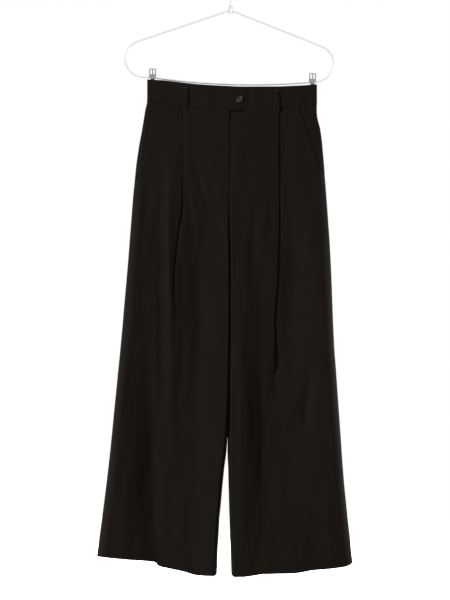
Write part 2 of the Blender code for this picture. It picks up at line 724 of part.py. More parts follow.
def build_button(collection, cutters, parent, material):
    """A turned button with a raised rim and four holes, its axis towards the front."""
    x, height = BUTTON_PLACE
    surface = float(stand_off(LEFT, np.array(x), np.array(height))) + SIDE_SEAM_GAP / 2
    radii = BUTTON_PROFILE["radius"] * BUTTON_RADIUS
    heights = BUTTON_PROFILE["height"] * BUTTON_THICKNESS
    profile = [(radius, 0, z) for radius, z in zip(radii, heights)]
    mesh = bpy.data.meshes.new("button")
    mesh.from_pydata(profile, [(index, index + 1) for index in range(len(profile) - 1)], [])
    button = add_object("button", mesh, collection, parent, material)
    button.rotation_euler = (math.radians(90), 0, 0)
    button.location = (x, -(surface + BUTTON_STANDOFF), height)
    turn = button.modifiers.new("Turn", "SCREW")
    turn.steps = BUTTON_STEPS
    turn.render_steps = BUTTON_STEPS
    turn.use_merge_vertices = True
    turn.merge_threshold = 0.00005
    for index in range(4):
        angle = math.radians(45 + 90 * index)
        form = bmesh.new()
        bmesh.ops.create_cone(
            form,
            cap_ends=True,
            segments=10,
            radius1=BUTTON_HOLE_RADIUS,
            radius2=BUTTON_HOLE_RADIUS,
            depth=4 * BUTTON_THICKNESS,
        )
        hole_mesh = bpy.data.meshes.new(f"button_hole_{index + 1}")
        form.to_mesh(hole_mesh)
        form.free()
        hole = bpy.data.objects.new(hole_mesh.name, hole_mesh)
        cutters.objects.link(hole)
        hole.parent = button
        hole.location = (BUTTON_HOLE_SPREAD * math.cos(angle), BUTTON_HOLE_SPREAD * math.sin(angle), 0)
        hole.hide_render = True
        hole.display_type = "WIRE"
        cut = button.modifiers.new(hole.name, "BOOLEAN")
        cut.operation = "DIFFERENCE"
        cut.solver = "EXACT"
        cut.object = hole


# --------------------------------------------------------------------------------------- the hanger


def arc(centre, radius, start, end, count):
    """Points of an arc in the hanger's plane."""
    angles = np.linspace(start, end, count)
    x = centre[0] + radius * np.cos(angles)
    z = centre[1] + radius * np.sin(angles)
    return np.stack((x, np.zeros(count), z), axis=1)


def smooth_bridge(start, start_way, end, end_way, count):
    """Points strictly between two ends, on the cubic that leaves and arrives in the given directions."""
    part = np.linspace(0, 1, count + 2)[1:-1, None]
    reach = np.linalg.norm(np.subtract(end, start))
    first = np.array(start) + np.array(start_way) * reach / 3
    second = np.array(end) - np.array(end_way) * reach / 3
    ends = (1 - part) ** 3 * np.array(start) + part**3 * np.array(end)
    return ends + 3 * part * (1 - part) ** 2 * first + 3 * part**2 * (1 - part) * second


def hook_points():
    """From the tip over the top and down to the stem."""
    centre = (0.0, -HOOK_RADIUS)
    path = HOOK_RADIUS + WIRE_RADIUS
    bow = arc(centre, path, HOOK_TIP_ANGLE, HOOK_NECK_ANGLE, 26)
    way = (math.sin(HOOK_NECK_ANGLE), 0, -math.cos(HOOK_NECK_ANGLE))
    stem = (0, 0, STEM_TOP)
    bridge = smooth_bridge(bow[-1], way, stem, (0, 0, -1), 5)
    return np.concatenate((bow, bridge, [stem, (0, 0, NECK_TOP + SEAM_GAP)]))


def bar_height(x):
    """The lower bar bows down between the clips under the garment's weight."""
    return BAR_HEIGHT - BAR_SAG * np.clip(1 - ((x - BAR_SAG_MIDDLE) / BAR_HALF_SPAN) ** 2, 0, 1)


def under_bar(x):
    """Height of the bar's lower side over a place along the waistband, in the garment's frame."""
    along = x + GARMENT_PLACE[0]
    in_hanger = (along - BAR_HEIGHT * math.sin(HANGER_LEAN)) / math.cos(HANGER_LEAN)
    middle = bar_height(in_hanger) * math.cos(HANGER_LEAN) - in_hanger * math.sin(HANGER_LEAN)
    return middle - WIRE_RADIUS


def shoulder_points(sign):
    """One shoulder wire: from the neck down the slope, round the end and in to the bar."""
    start_x = NECK_RADIUS + SEAM_GAP + WIRE_RADIUS * math.sin(SHOULDER_SLOPE)
    start = (start_x, 0.0, NECK_TOP - SHOULDER_BELOW_NECK_TOP - start_x * math.tan(SHOULDER_SLOPE))
    bend_x = HANGER_HALF_WIDTH - BEND_RADIUS
    centre = (bend_x, bar_height(sign * bend_x) + BEND_RADIUS)
    bend = arc(centre, BEND_RADIUS, math.pi / 2 - SHOULDER_SLOPE, -math.pi / 2, 15)
    slope = np.linspace(start, bend[0], 5)[:-1]
    points = np.concatenate((slope, bend))
    points[:, 0] *= sign
    return points


def build_hanger(collection, parent, metal):
    add_wire("hanger_hook", hook_points(), WIRE_RADIUS, collection, parent, metal)
    form = bmesh.new()
    bmesh.ops.create_cone(
        form, cap_ends=True, segments=20, radius1=NECK_RADIUS, radius2=NECK_RADIUS, depth=NECK_HEIGHT
    )
    mesh = bpy.data.meshes.new("hanger_neck")
    form.to_mesh(mesh)
    form.free()
    neck = add_object("hanger_neck", mesh, collection, parent, metal)
    neck.location = (0, 0, NECK_TOP - NECK_HEIGHT / 2)
    rounding = neck.modifiers.new("Edges", "BEVEL")
    rounding.width = NECK_EDGE
    rounding.segments = 2
    for leg in LEGS:
        points = shoulder_points(leg.sign)
        add_wire(f"hanger_shoulder_{leg.name}", points, WIRE_RADIUS, collection, parent, metal)
    reach = HANGER_HALF_WIDTH - BEND_RADIUS - 1.6 * SEAM_GAP
    x = np.linspace(-reach, reach, 25)
    bar = np.stack((x, 0 * x, bar_height(x)), axis=1)
    add_wire("hanger_bar", bar, WIRE_RADIUS, collection, parent, metal)


def clip_lever(name, x, face, collection, parent, metal):
    """One stamped lever: a solid jaw under the bar, and above it a handle of three bars that leans out."""
    middle = bar_height(x)
    points = np.zeros((len(LEVER["up"]), len(LEVER_COLUMNS), 3))
    points[..., 0] = x + LEVER_COLUMNS * LEVER["wide"][:, None]
    points[..., 1] = face * (LEVER["out"][:, None] + CLIP_PLATE)
    points[..., 2] = middle + LEVER["up"][:, None]
    mesh = sheet_mesh(name, points, face)
    form = bmesh.new()
    form.from_mesh(mesh)
    windows = []
    for polygon in form.faces:
        centre = polygon.calc_center_median()
        in_height = WINDOW_UP[0] < centre.z - middle < WINDOW_UP[1]
        in_width = WINDOW_ACROSS[0] < abs(centre.x - x) < WINDOW_ACROSS[1]
        if in_height and in_width:
            windows.append(polygon)
    bmesh.ops.delete(form, geom=windows, context="FACES")
    form.to_mesh(mesh)
    form.free()
    lever = add_object(name, mesh, collection, parent, metal)
    return thicken(lever, CLIP_PLATE)


def build_clips(collection, parent, metal):
    for side, x in CLIP_PLACES.items():
        clip_lever(f"clip_{side}_front", x, -1, collection, parent, metal)
        clip_lever(f"clip_{side}_back", x, 1, collection, parent, metal)


def main():
    clear_scene()
    parts = new_collection("flared_trousers_on_hanger")
    cutters = new_collection("cutters")
    cloth = new_material("suiting", (0.0120, 0.0100, 0.0078), 0.85)
    tape = new_material("zip_tape", (0.0100, 0.0090, 0.0080), 0.80)
    horn = new_material("button", (0.0060, 0.0050, 0.0045), 0.22)
    metal = new_material("hanger_metal", (0.62, 0.62, 0.62), 0.28, 1.0)
    garment = add_empty("garment", parts, GARMENT_PLACE)
    build_panels(parts, garment, cloth)
    build_waistband(parts, garment, cloth)
    build_loops(parts, garment, cloth)
    build_fly_zip(parts, garment, tape)
    build_button(parts, cutters, garment, horn)
    hanger = add_empty("hanger", parts)
    hanger.rotation_euler = (0, HANGER_LEAN, 0)
    build_hanger(parts, hanger, metal)
    build_clips(parts, hanger, metal)


main()
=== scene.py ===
"""Flared trousers on a wire clip hanger: the cloth, its seams and stitches, and the finish of every piece.

Everything is in metres in the part's frame: +Z up, the front faces -Y, the wearer's left is at +X, and the
origin is the inside top of the hanger's hook. The tables are in the garment's own frame, as the part's
sections are: x from the hook, height below it, and depth from the garment's mid-plane.
"""

import json
import logging
import math
from collections.abc import Callable
from dataclasses import dataclass, field
from enum import Enum

import bmesh
import bpy
import numpy as np
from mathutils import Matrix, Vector


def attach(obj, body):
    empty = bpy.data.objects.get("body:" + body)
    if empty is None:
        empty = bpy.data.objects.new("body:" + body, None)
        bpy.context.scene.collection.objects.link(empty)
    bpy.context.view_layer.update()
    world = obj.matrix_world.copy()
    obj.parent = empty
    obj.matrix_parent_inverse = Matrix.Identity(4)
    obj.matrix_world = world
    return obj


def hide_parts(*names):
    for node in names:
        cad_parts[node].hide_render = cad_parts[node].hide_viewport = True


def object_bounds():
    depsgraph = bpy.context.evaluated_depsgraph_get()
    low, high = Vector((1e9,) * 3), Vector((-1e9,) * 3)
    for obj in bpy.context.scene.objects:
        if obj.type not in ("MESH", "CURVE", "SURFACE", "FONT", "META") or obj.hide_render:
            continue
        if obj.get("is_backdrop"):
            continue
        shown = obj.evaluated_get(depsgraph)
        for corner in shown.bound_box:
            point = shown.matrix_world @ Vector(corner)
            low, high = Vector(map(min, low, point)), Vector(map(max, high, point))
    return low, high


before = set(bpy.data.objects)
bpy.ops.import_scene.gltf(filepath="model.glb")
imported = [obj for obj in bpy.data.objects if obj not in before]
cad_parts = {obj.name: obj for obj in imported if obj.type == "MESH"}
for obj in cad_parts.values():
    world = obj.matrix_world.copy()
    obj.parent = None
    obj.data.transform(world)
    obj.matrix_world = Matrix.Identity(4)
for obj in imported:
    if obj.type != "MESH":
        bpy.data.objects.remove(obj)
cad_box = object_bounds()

Array = np.ndarray
Colour = tuple[float, float, float]
Socket = bpy.types.NodeSocket
log = logging.getLogger("flared_trousers")

BODY = "root"


# ------------------------------------------------------------------------------------------ choices


class Side(Enum):
    """The wearer's right and left, with the sign of their x."""

    RIGHT = -1
    LEFT = 1

    @property
    def word(self) -> str:
        """The side's name, as the pieces use it."""
        return self.name.lower()


class Face(Enum):
    """Which way a cloth piece's outer face looks, as the sign of its y."""

    FRONT = -1
    BACK = 1


class Hold(Enum):
    """How a sheet of cloth is held."""

    HUNG = "hung"


class Slot(Enum):
    """The record's material slots."""

    SUITING = "suiting"
    ZIP_TAPE = "zip_tape"
    BUTTON = "button"
    WIRE = "hanger_wire"
    CLIP = "clip"


# ------------------------------------------------------------------------------ curves and small maths


class Table:
    """A short table with named columns, read on smooth curves that never overshoot its rows."""

    def __init__(self, columns: str, *rows: tuple[float, ...]) -> None:
        """Keep the rows by column.

        Args:
            columns: The columns' names, parted by spaces.
            rows: The rows, ascending in the column that the table is read by.
        """
        self.columns = dict(zip(columns.split(), np.array(rows, float).T))

    def each(self) -> list[dict[str, float]]:
        """The rows, each by column name."""
        return [dict(zip(self.columns, map(float, row))) for row in zip(*self.columns.values())]

    def at(self, name: str, place: Array | float, by: str = "height") -> Array:
        """Read a column on a cubic through its rows, whose slopes are the harmonic means of its steps.

        Args:
            name: The column to read.
            place: Where to read it, in the column that the table is read by.
            by: The column that the table is read by.

        Returns:
            The values, one for each place.
        """
        places = self.columns[by]
        values = self.columns[name]
        steps = np.diff(places)
        slopes = np.diff(values) / steps
        tangents = np.zeros_like(values)
        products = slopes[:-1] * slopes[1:]
        agree = products > 0
        tangents[1:-1][agree] = 2 * products[agree] / (slopes[:-1] + slopes[1:])[agree]
        tangents[[0, -1]] = slopes[[0, -1]]
        place = np.clip(place, places[0], places[-1])
        row = np.clip(np.searchsorted(places, place, side="right") - 1, 0, len(steps) - 1)
        part = (place - places[row]) / steps[row]
        start = values[row] + part * steps[row] * tangents[row]
        end = values[row + 1] - (1 - part) * steps[row] * tangents[row + 1]
        blend = part * part * (3 - 2 * part)
        return start * (1 - blend) + end * blend


def ease(part: Array | float) -> Array:
    """0 to 1, starting and ending level: three squares less two cubes."""
    part = np.clip(part, 0.0, 1.0)
    return part * part * (3 - 2 * part)


def quarter_round(part: Array | float) -> Array:
    """Height of a quarter ellipse at a part of its width: 0 at its edge, 1 from its full width on."""
    return np.sqrt(1 - (1 - np.clip(part, 0.0, 1.0)) ** 2)


def turned(count: int) -> Array:
    """Parts of a quarter round's width whose points are evenly spaced round it: one less a cosine."""
    return 1 - np.cos(np.linspace(0, np.pi / 2, count))


def rolled(away: Array | float, run: float) -> Array:
    """1 at an edge, down to 0 a run away from it: one less a quarter ellipse."""
    return 1 - quarter_round(away / run)


def bell(away: Array | float, width: Array | float, power: float = 2) -> Array:
    """1 in the middle, falling off both ways: e to the minus a power of the distance over the width."""
    return np.exp(-((away / width) ** power))


def circle(count: int) -> Array:
    """Angles evenly spaced round a circle."""
    return np.arange(count) / count * 2 * np.pi


def steps_between(*stops: float, counts: tuple[int, ...]) -> Array:
    """Values through all stops, with each stretch divided evenly.

    Args:
        stops: The places that the values pass through.
        counts: How many steps each stretch has.

    Returns:
        The values, each stop once.
    """
    pieces = [np.linspace(a, b, n, endpoint=False) for a, b, n in zip(stops[:-1], stops[1:], counts)]
    return np.concatenate((*pieces, stops[-1:]))


# ---------------------------------------------------------------------------------- meshes and nodes


def mesh_object(name: str, points: Array, faces: Array, uv: Array | None = None) -> bpy.types.Object:
    """Put points and faces into a new smooth-shaded mesh object.

    Args:
        name: The piece's name.
        points: The vertices, one row each.
        faces: The corners of each face, all with the same count.
        uv: A place on the cloth for each vertex, in metres.

    Returns:
        The object, linked to the scene.
    """
    mesh = bpy.data.meshes.new(name)
    mesh.from_pydata(points.reshape(-1, 3).tolist(), [], faces.tolist())
    if uv is not None:
        layer = mesh.uv_layers.new(name="Cloth")
        corners = np.empty(len(mesh.loops), np.int32)
        mesh.loops.foreach_get("vertex_index", corners)
        layer.data.foreach_set("uv", uv.reshape(-1, 2)[corners].astype(np.float32).ravel())
    mesh.shade_smooth()
    mesh.update()
    item = bpy.data.objects.new(name, mesh)
    bpy.context.scene.collection.objects.link(item)
    return item


def grid_faces(rows: int, columns: int, closed: bool = False) -> Array:
    """The quads of a grid, each from its lower corner on: along the row, then up.

    Args:
        rows: Rows of points.
        columns: Points in a row.
        closed: Whether each row joins its own start.

    Returns:
        Four corners for each quad.
    """
    across = np.arange(columns if closed else columns - 1)
    start = np.arange(rows - 1)[:, None] * columns
    next_across = (across + 1) % columns
    corners = (start + across, start + next_across, start + columns + next_across, start + columns + across)
    return np.stack(corners, axis=-1).reshape(-1, 4)


def cloth_place(points: Array, reference: int) -> Array:
    """Place on the cloth: the way round each row from one column, and the height, so the grain is straight.

    Args:
        points: The piece's grid of points.
        reference: The column that follows the straight grain.

    Returns:
        Two numbers for each point, in metres.
    """
    steps = np.linalg.norm(np.diff(points[..., :2], axis=1), axis=-1)
    along = np.concatenate((np.zeros((len(points), 1)), np.cumsum(steps, axis=1)), axis=1)
    return np.stack((along - along[:, reference : reference + 1], points[..., 2]), axis=-1)


def cloth_object(name: str, points: Array, face: Face, thickness: float, reference: int) -> bpy.types.Object:
    """A wall of cloth whose outer face is a grid of points, with Solidify inwards from it.

    Args:
        name: The piece's name.
        points: Rows and columns of points on the outer face, the rows from low to high.
        face: Which way the outer face looks.
        thickness: The wall's thickness.
        reference: The column that follows the straight grain.

    Returns:
        The cloth object.
    """
    place = cloth_place(points, reference)
    if (points[0, -1, 0] - points[0, 0, 0]) * face.value > 0:
        points = points[:, ::-1]
        place = place[:, ::-1]
    item = mesh_object(name, points, grid_faces(*points.shape[:2]), place)
    wall = item.modifiers.new("Wall", "SOLIDIFY")
    wall.thickness = thickness
    wall.offset = -1
    return item


def tube(path: Array, radius: Array | float, sides: int) -> tuple[Array, Array]:
    """A closed tube: circles round a path, square to its direction, with a point at each end.

    Args:
        path: Points of the centreline, in rows.
        radius: Radius at each point, or one for all.
        sides: Points round each circle.

    Returns:
        The points and the faces, as triangles.
    """
    way = np.gradient(path, axis=0)
    way /= np.linalg.norm(way, axis=1, keepdims=True)
    middle_way = np.abs(way).mean(axis=0)
    side = np.cross(way, np.eye(3)[np.argmin(middle_way)])
    side /= np.linalg.norm(side, axis=1, keepdims=True)
    up = np.cross(way, side)
    angle = circle(sides)
    reach = np.broadcast_to(radius, len(path))[:, None, None]
    ring = np.cos(angle)[:, None] * side[:, None] + np.sin(angle)[:, None] * up[:, None]
    points = np.concatenate(((path[:, None] + reach * ring).reshape(-1, 3), path[:1], path[-1:]))
    quads = grid_faces(len(path), sides, closed=True)
    around = np.arange(sides)
    following = (around + 1) % sides
    first = len(path) * sides
    start = np.stack((following, around, np.full(sides, first)), axis=1)
    top = first - sides
    end = np.stack((top + around, top + following, np.full(sides, first + 1)), axis=1)
    walls = np.concatenate((quads[:, [0, 1, 2]], quads[:, [0, 2, 3]]))
    return points, np.concatenate((walls, start, end))


def joined(parts: list[tuple[Array, Array]]) -> tuple[Array, Array]:
    """Several sets of points and faces as one."""
    starts = np.cumsum([0] + [len(points) for points, _ in parts[:-1]])
    points = np.concatenate([points for points, _ in parts])
    return points, np.concatenate([faces + start for (_, faces), start in zip(parts, starts)])


def close_poles(item: bpy.types.Object) -> None:
    """Merge the points that lie together at a turned piece's poles, and turn its faces outwards."""
    form = bmesh.new()
    form.from_mesh(item.data)
    bmesh.ops.remove_doubles(form, verts=form.verts, dist=1e-7)
    bmesh.ops.recalc_face_normals(form, faces=form.faces)
    form.to_mesh(item.data)
    form.free()


class NodeGraph:
    """A material's nodes, added and linked in short calls."""

    def __init__(self, name: str) -> None:
        """Start a material that has only its Principled shader and output."""
        self.material = bpy.data.materials.new(name)
        self.material.use_nodes = True
        self.tree = self.material.node_tree
        self.shader = self.tree.nodes["Principled BSDF"]

    def node(self, kind: str, settings: dict | None = None, **inputs: object) -> bpy.types.Node:
        """Add a node.

        Args:
            kind: The node's type, without its ShaderNode prefix.
            settings: Its own settings.
            inputs: Its sockets by name, with _ for a space; a value, or a socket to link from.

        Returns:
            The node.
        """
        node = self.tree.nodes.new("ShaderNode" + kind)
        for key, value in (settings or {}).items():
            setattr(node, key, value)
        for key, value in inputs.items():
            self.feed(node.inputs[key.replace("_", " ")], value)
        return node

    def feed(self, socket: Socket, value: object) -> None:
        """Link a socket from another one, or set its value."""
        if isinstance(value, Socket):
            self.tree.links.new(value, socket)
        else:
            socket.default_value = value

    def shade(self, **inputs: object) -> None:
        """Feed the Principled shader's sockets, with _ for a space in their names."""
        for key, value in inputs.items():
            self.feed(self.shader.inputs[key.replace("_", " ")], value)

    def maths(self, operation: str, *values: object) -> Socket:
        """The result of a sum, product or other operation on values or sockets."""
        node = self.node("Math", {"operation": operation})
        for socket, value in zip(node.inputs, values):
            self.feed(socket, value)
        return node.outputs[0]

    def on_cloth(self) -> Socket:
        """The place on the cloth, in metres."""
        return self.node("UVMap", {"uv_map": "Cloth"}).outputs["UV"]

    def in_object(self) -> Socket:
        """The place in the object's own space, in metres."""
        return self.node("TexCoord").outputs["Object"]

    def scaled(self, place: Socket, scale: tuple[float, float, float]) -> Socket:
        """A place, scaled along each axis."""
        return self.node("Mapping", Vector=place, Scale=scale).outputs[0]

    def noise(self, place: Socket, scale: float, detail: float, distortion: float = 0.0) -> Socket:
        """Smooth noise, 0 to 1."""
        node = self.node("TexNoise", Vector=place, Scale=scale, Detail=detail, Distortion=distortion)
        return node.outputs["Fac"]

    def bands(self, direction: str, place: Socket, spacing: float, times: float = 1.0) -> Socket:
        """Waves a spacing apart: the texture's phase is 20 times the place times the scale."""
        scale = 2 * math.pi / (20 * spacing) * times
        return self.node("TexWave", {"bands_direction": direction}, Vector=place, Scale=scale).outputs["Fac"]

    def part_between(self, value: Socket, start: float, end: float) -> Socket:
        """How far a value is on its way from a start to an end, 0 to 1."""
        return self.node("MapRange", Value=value, From_Min=start, From_Max=end).outputs[0]

    def bump(self, height: Socket, strength: float, distance: float) -> Socket:
        """A normal that follows a height."""
        return self.node("Bump", Strength=strength, Distance=distance, Height=height).outputs[0]

    def blend(self, part: Socket, first: Colour, second: Colour) -> Socket:
        """A colour between two, by a factor."""
        node = self.node("Mix", {"data_type": "RGBA"})
        self.feed(node.inputs["Factor"], part)
        self.feed(node.inputs["A"], (*first, 1.0))
        self.feed(node.inputs["B"], (*second, 1.0))
        return node.outputs["Result"]


# ---------------------------------------------------------------------------------------- finishes


@dataclass(frozen=True)
class Suiting:
    """Warm near-black woven suiting: a fine twill with slight slubs, dull in front, sheeny at its edges."""

    name: str = "suiting"
    dark: Colour = (0.0060, 0.0047, 0.0036)
    pale: Colour = (0.0094, 0.0074, 0.0057)
    thread: float = 0.00042
    twill_angle: float = math.radians(27)
    weft_share: float = 1.1
    slub_width: float = 0.0011
    slub_length: float = 0.020
    relief: float = 0.00007
    roughness: float = 0.82
    roughness_range: float = 0.12
    specular: float = 0.035
    sheen: float = 0.012
    sheen_roughness: float = 0.35
    sheen_tint: Colour = (1.0, 0.95, 0.88)

    def material(self) -> bpy.types.Material:
        """Two wave patterns cross as warp and weft, and noise drawn out along the warp makes the slubs.

        Returns:
            The material, which reads the cloth's own places in metres.
        """
        graph = NodeGraph(self.name)
        place = graph.on_cloth()
        turn = graph.node("Mapping", Vector=place, Rotation=(0, 0, self.twill_angle)).outputs[0]
        twill = graph.bands("X", turn, self.thread)
        weft = graph.bands("Y", place, self.thread, self.weft_share)
        weave = graph.maths("MULTIPLY", twill, weft)
        slubs = graph.noise(graph.scaled(place, (1 / self.slub_width, 1 / self.slub_length, 1)), 1.0, 2.0)
        wide = graph.noise(place, 24.0, 3.0)
        tone = graph.maths("MULTIPLY", slubs, 0.45)
        tone = graph.maths("ADD", tone, graph.maths("MULTIPLY", wide, 0.35))
        tone = graph.maths("ADD", tone, graph.maths("MULTIPLY", weave, 0.25))
        height = graph.maths("ADD", graph.maths("MULTIPLY", weave, 0.8), slubs)
        least = self.roughness - self.roughness_range / 2
        graph.shade(
            Base_Color=graph.blend(tone, self.dark, self.pale),
            Roughness=graph.maths("MULTIPLY_ADD", slubs, self.roughness_range, least),
            Specular_IOR_Level=self.specular,
            Sheen_Weight=self.sheen,
            Sheen_Roughness=self.sheen_roughness,
            Sheen_Tint=(*self.sheen_tint, 1.0),
            Normal=graph.bump(height, 0.35, self.relief),
        )
        return graph.material


@dataclass(frozen=True)
class Ribbed:
    """Twisted sewing thread, a little glossier than the cloth, or dull tape: paler on its plies or ribs."""

    name: str
    colour: Colour
    pale: Colour
    bands: str = "DIAGONAL"
    spacing: float = 0.0006
    strength: float = 0.4
    relief: float = 0.00005
    roughness: float = 0.48
    specular: float = 0.35
    on_cloth: bool = False

    def material(self) -> bpy.types.Material:
        """Waves on the cloth's own places, or in the object's own space, give the ribs or plies.

        Returns:
            The material.
        """
        graph = NodeGraph(self.name)
        place = graph.on_cloth() if self.on_cloth else graph.in_object()
        ribs = graph.bands(self.bands, place, self.spacing)
        graph.shade(
            Base_Color=graph.blend(ribs, self.colour, self.pale),
            Roughness=self.roughness,
            Specular_IOR_Level=self.specular,
            Normal=graph.bump(ribs, self.strength, self.relief),
        )
        return graph.material


@dataclass(frozen=True)
class Horn:
    """Dark polished horn-like resin under a clear coat, with a highlight painted across the button as a pale
    band.
    """

    name: str = "button_resin"
    dark: Colour = (0.0030, 0.0026, 0.0023)
    # The pale colour is a painted highlight, laid in a band across the button's disc
    pale: Colour = (0.0620, 0.0580, 0.0530)
    streak: tuple[float, float] = (0.06, 0.24)
    breaks: tuple[float, float] = (0.30, 0.62)

    def material(self) -> bpy.types.Material:
        """A painted highlight: a pale band across the button's own disc, broken up by drawn-out noise,
        lightens the base colour.

        Returns:
            The material.
        """
        graph = NodeGraph(self.name)
        place = graph.on_cloth()
        off = graph.node("SeparateXYZ", Vector=place).outputs["Y"]
        off = graph.maths("ABSOLUTE", graph.maths("SUBTRACT", off, 0.5))
        # The painted highlight: a band along the disc's diagonal, full within the first reach and gone past
        # the second
        band = graph.part_between(off, self.streak[1], self.streak[0])
        drawn = graph.noise(graph.scaled(place, (3.0, 14.0, 1.0)), 1.0, 4.0, 0.8)
        part = graph.maths("MULTIPLY", band, graph.part_between(drawn, *self.breaks))
        graph.shade(
            Base_Color=graph.blend(part, self.dark, self.pale),
            Roughness=0.20,
            Specular_IOR_Level=0.12,
            Coat_Weight=0.25,
            Coat_Roughness=0.08,
        )
        return graph.material


@dataclass(frozen=True)
class PlatedSteel:
    """Bright plated steel, with fine drawing marks and faint handling wear."""

    name: str
    colour: Colour
    worn: Colour
    roughness: float
    marks: tuple[float, float, float]
    roughness_range: float = 0.14

    def material(self) -> bpy.types.Material:
        """Noise drawn out along the metal varies its tone, gloss and surface a little.

        Returns:
            The material.
        """
        graph = NodeGraph(self.name)
        place = graph.in_object()
        drawn = graph.noise(graph.scaled(place, self.marks), 1.0, 3.0)
        patches = graph.noise(place, 160.0, 2.0)
        least = self.roughness - self.roughness_range / 2
        graph.shade(
            Base_Color=graph.blend(patches, self.worn, self.colour),
            Metallic=1.0,
            Roughness=graph.maths("MULTIPLY_ADD", patches, self.roughness_range, least),
            Normal=graph.bump(drawn, 0.15, 0.00003),
        )
        return graph.material


@dataclass(frozen=True)
class Finishes:
    """The object's materials, each made once."""

    suiting: bpy.types.Material
    tape: bpy.types.Material
    thread: bpy.types.Material
    pale_thread: bpy.types.Material
    horn: bpy.types.Material
    wire: bpy.types.Material
    stamped: bpy.types.Material

    @classmethod
    def made(cls) -> "Finishes":
        """Make every finish."""
        return cls(
            suiting=Suiting().material(),
            tape=Ribbed(
                "zip_tape",
                (0.0060, 0.0052, 0.0046),
                (0.0090, 0.0080, 0.0070),
                bands="Y",
                spacing=0.0007,
                strength=0.5,
                relief=0.0001,
                roughness=0.85,
                specular=0.15,
                on_cloth=True,
            ).material(),
            thread=Ribbed("thread", (0.008, 0.0068, 0.0056), (0.016, 0.0138, 0.0115)).material(),
            pale_thread=Ribbed("bar_tack_thread", (0.014, 0.0122, 0.0104), (0.030, 0.026, 0.022)).material(),
            horn=Horn().material(),
            wire=PlatedSteel("wire", (0.80, 0.80, 0.80), (0.72, 0.72, 0.73), 0.26, (60, 900, 900)).material(),
            stamped=PlatedSteel(
                "stamped", (0.38, 0.38, 0.385), (0.25, 0.25, 0.255), 0.30, (900, 900, 80)
            ).material(),
        )


def dress(
    item: bpy.types.Object, material: bpy.types.Material, node: str = ""
) -> bpy.types.Object:
    """Give a new piece its material, let it ride with the part, and hide the node that it replaces.

    Args:
        item: The piece, in place.
        material: Its finish.
        node: The node that it replaces, if any.

    Returns:
        The piece.
    """
    item.data.materials.append(material)
    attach(item, BODY)
    if node:
        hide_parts(node)
    return item


# ------------------------------------------------------------------------------ the garment's form


class Creases(Table):
    """Soft ridges and troughs. Each runs through three places, strongest at the middle one."""

    COLUMNS = "top top_x middle middle_x bottom bottom_x towards_right towards_left power rise"

    def __init__(self, *rows: tuple[float, ...]) -> None:
        """Keep the creases, one row each."""
        super().__init__(self.COLUMNS, *rows)

    def relief(self, x: Array, height: Array) -> Array:
        """Sum of the creases: each falls off across as e to the minus a power of the distance over its width.

        A power of 2 is a soft bell and one near 1 a sharp crest. Each side has its own width, and the
        crease fades along both ways from its middle.

        Args:
            x: Place across the garment.
            height: Height of each point.

        Returns:
            How far each point stands out.
        """
        total = np.zeros(np.broadcast(x, height).shape)
        for crease in self.each():
            top, middle, bottom = crease["top"], crease["middle"], crease["bottom"]
            line = Table(
                "height x", (bottom, crease["bottom_x"]), (middle, crease["middle_x"]), (top, crease["top_x"])
            )
            fade = ease((top - height) / (top - middle)) * ease((height - bottom) / (middle - bottom))
            away = x - line.at("x", height)
            width = np.where(away < 0, crease["towards_right"], crease["towards_left"])
            total = total + crease["rise"] * fade * bell(np.abs(away), width, crease["power"])
        return total


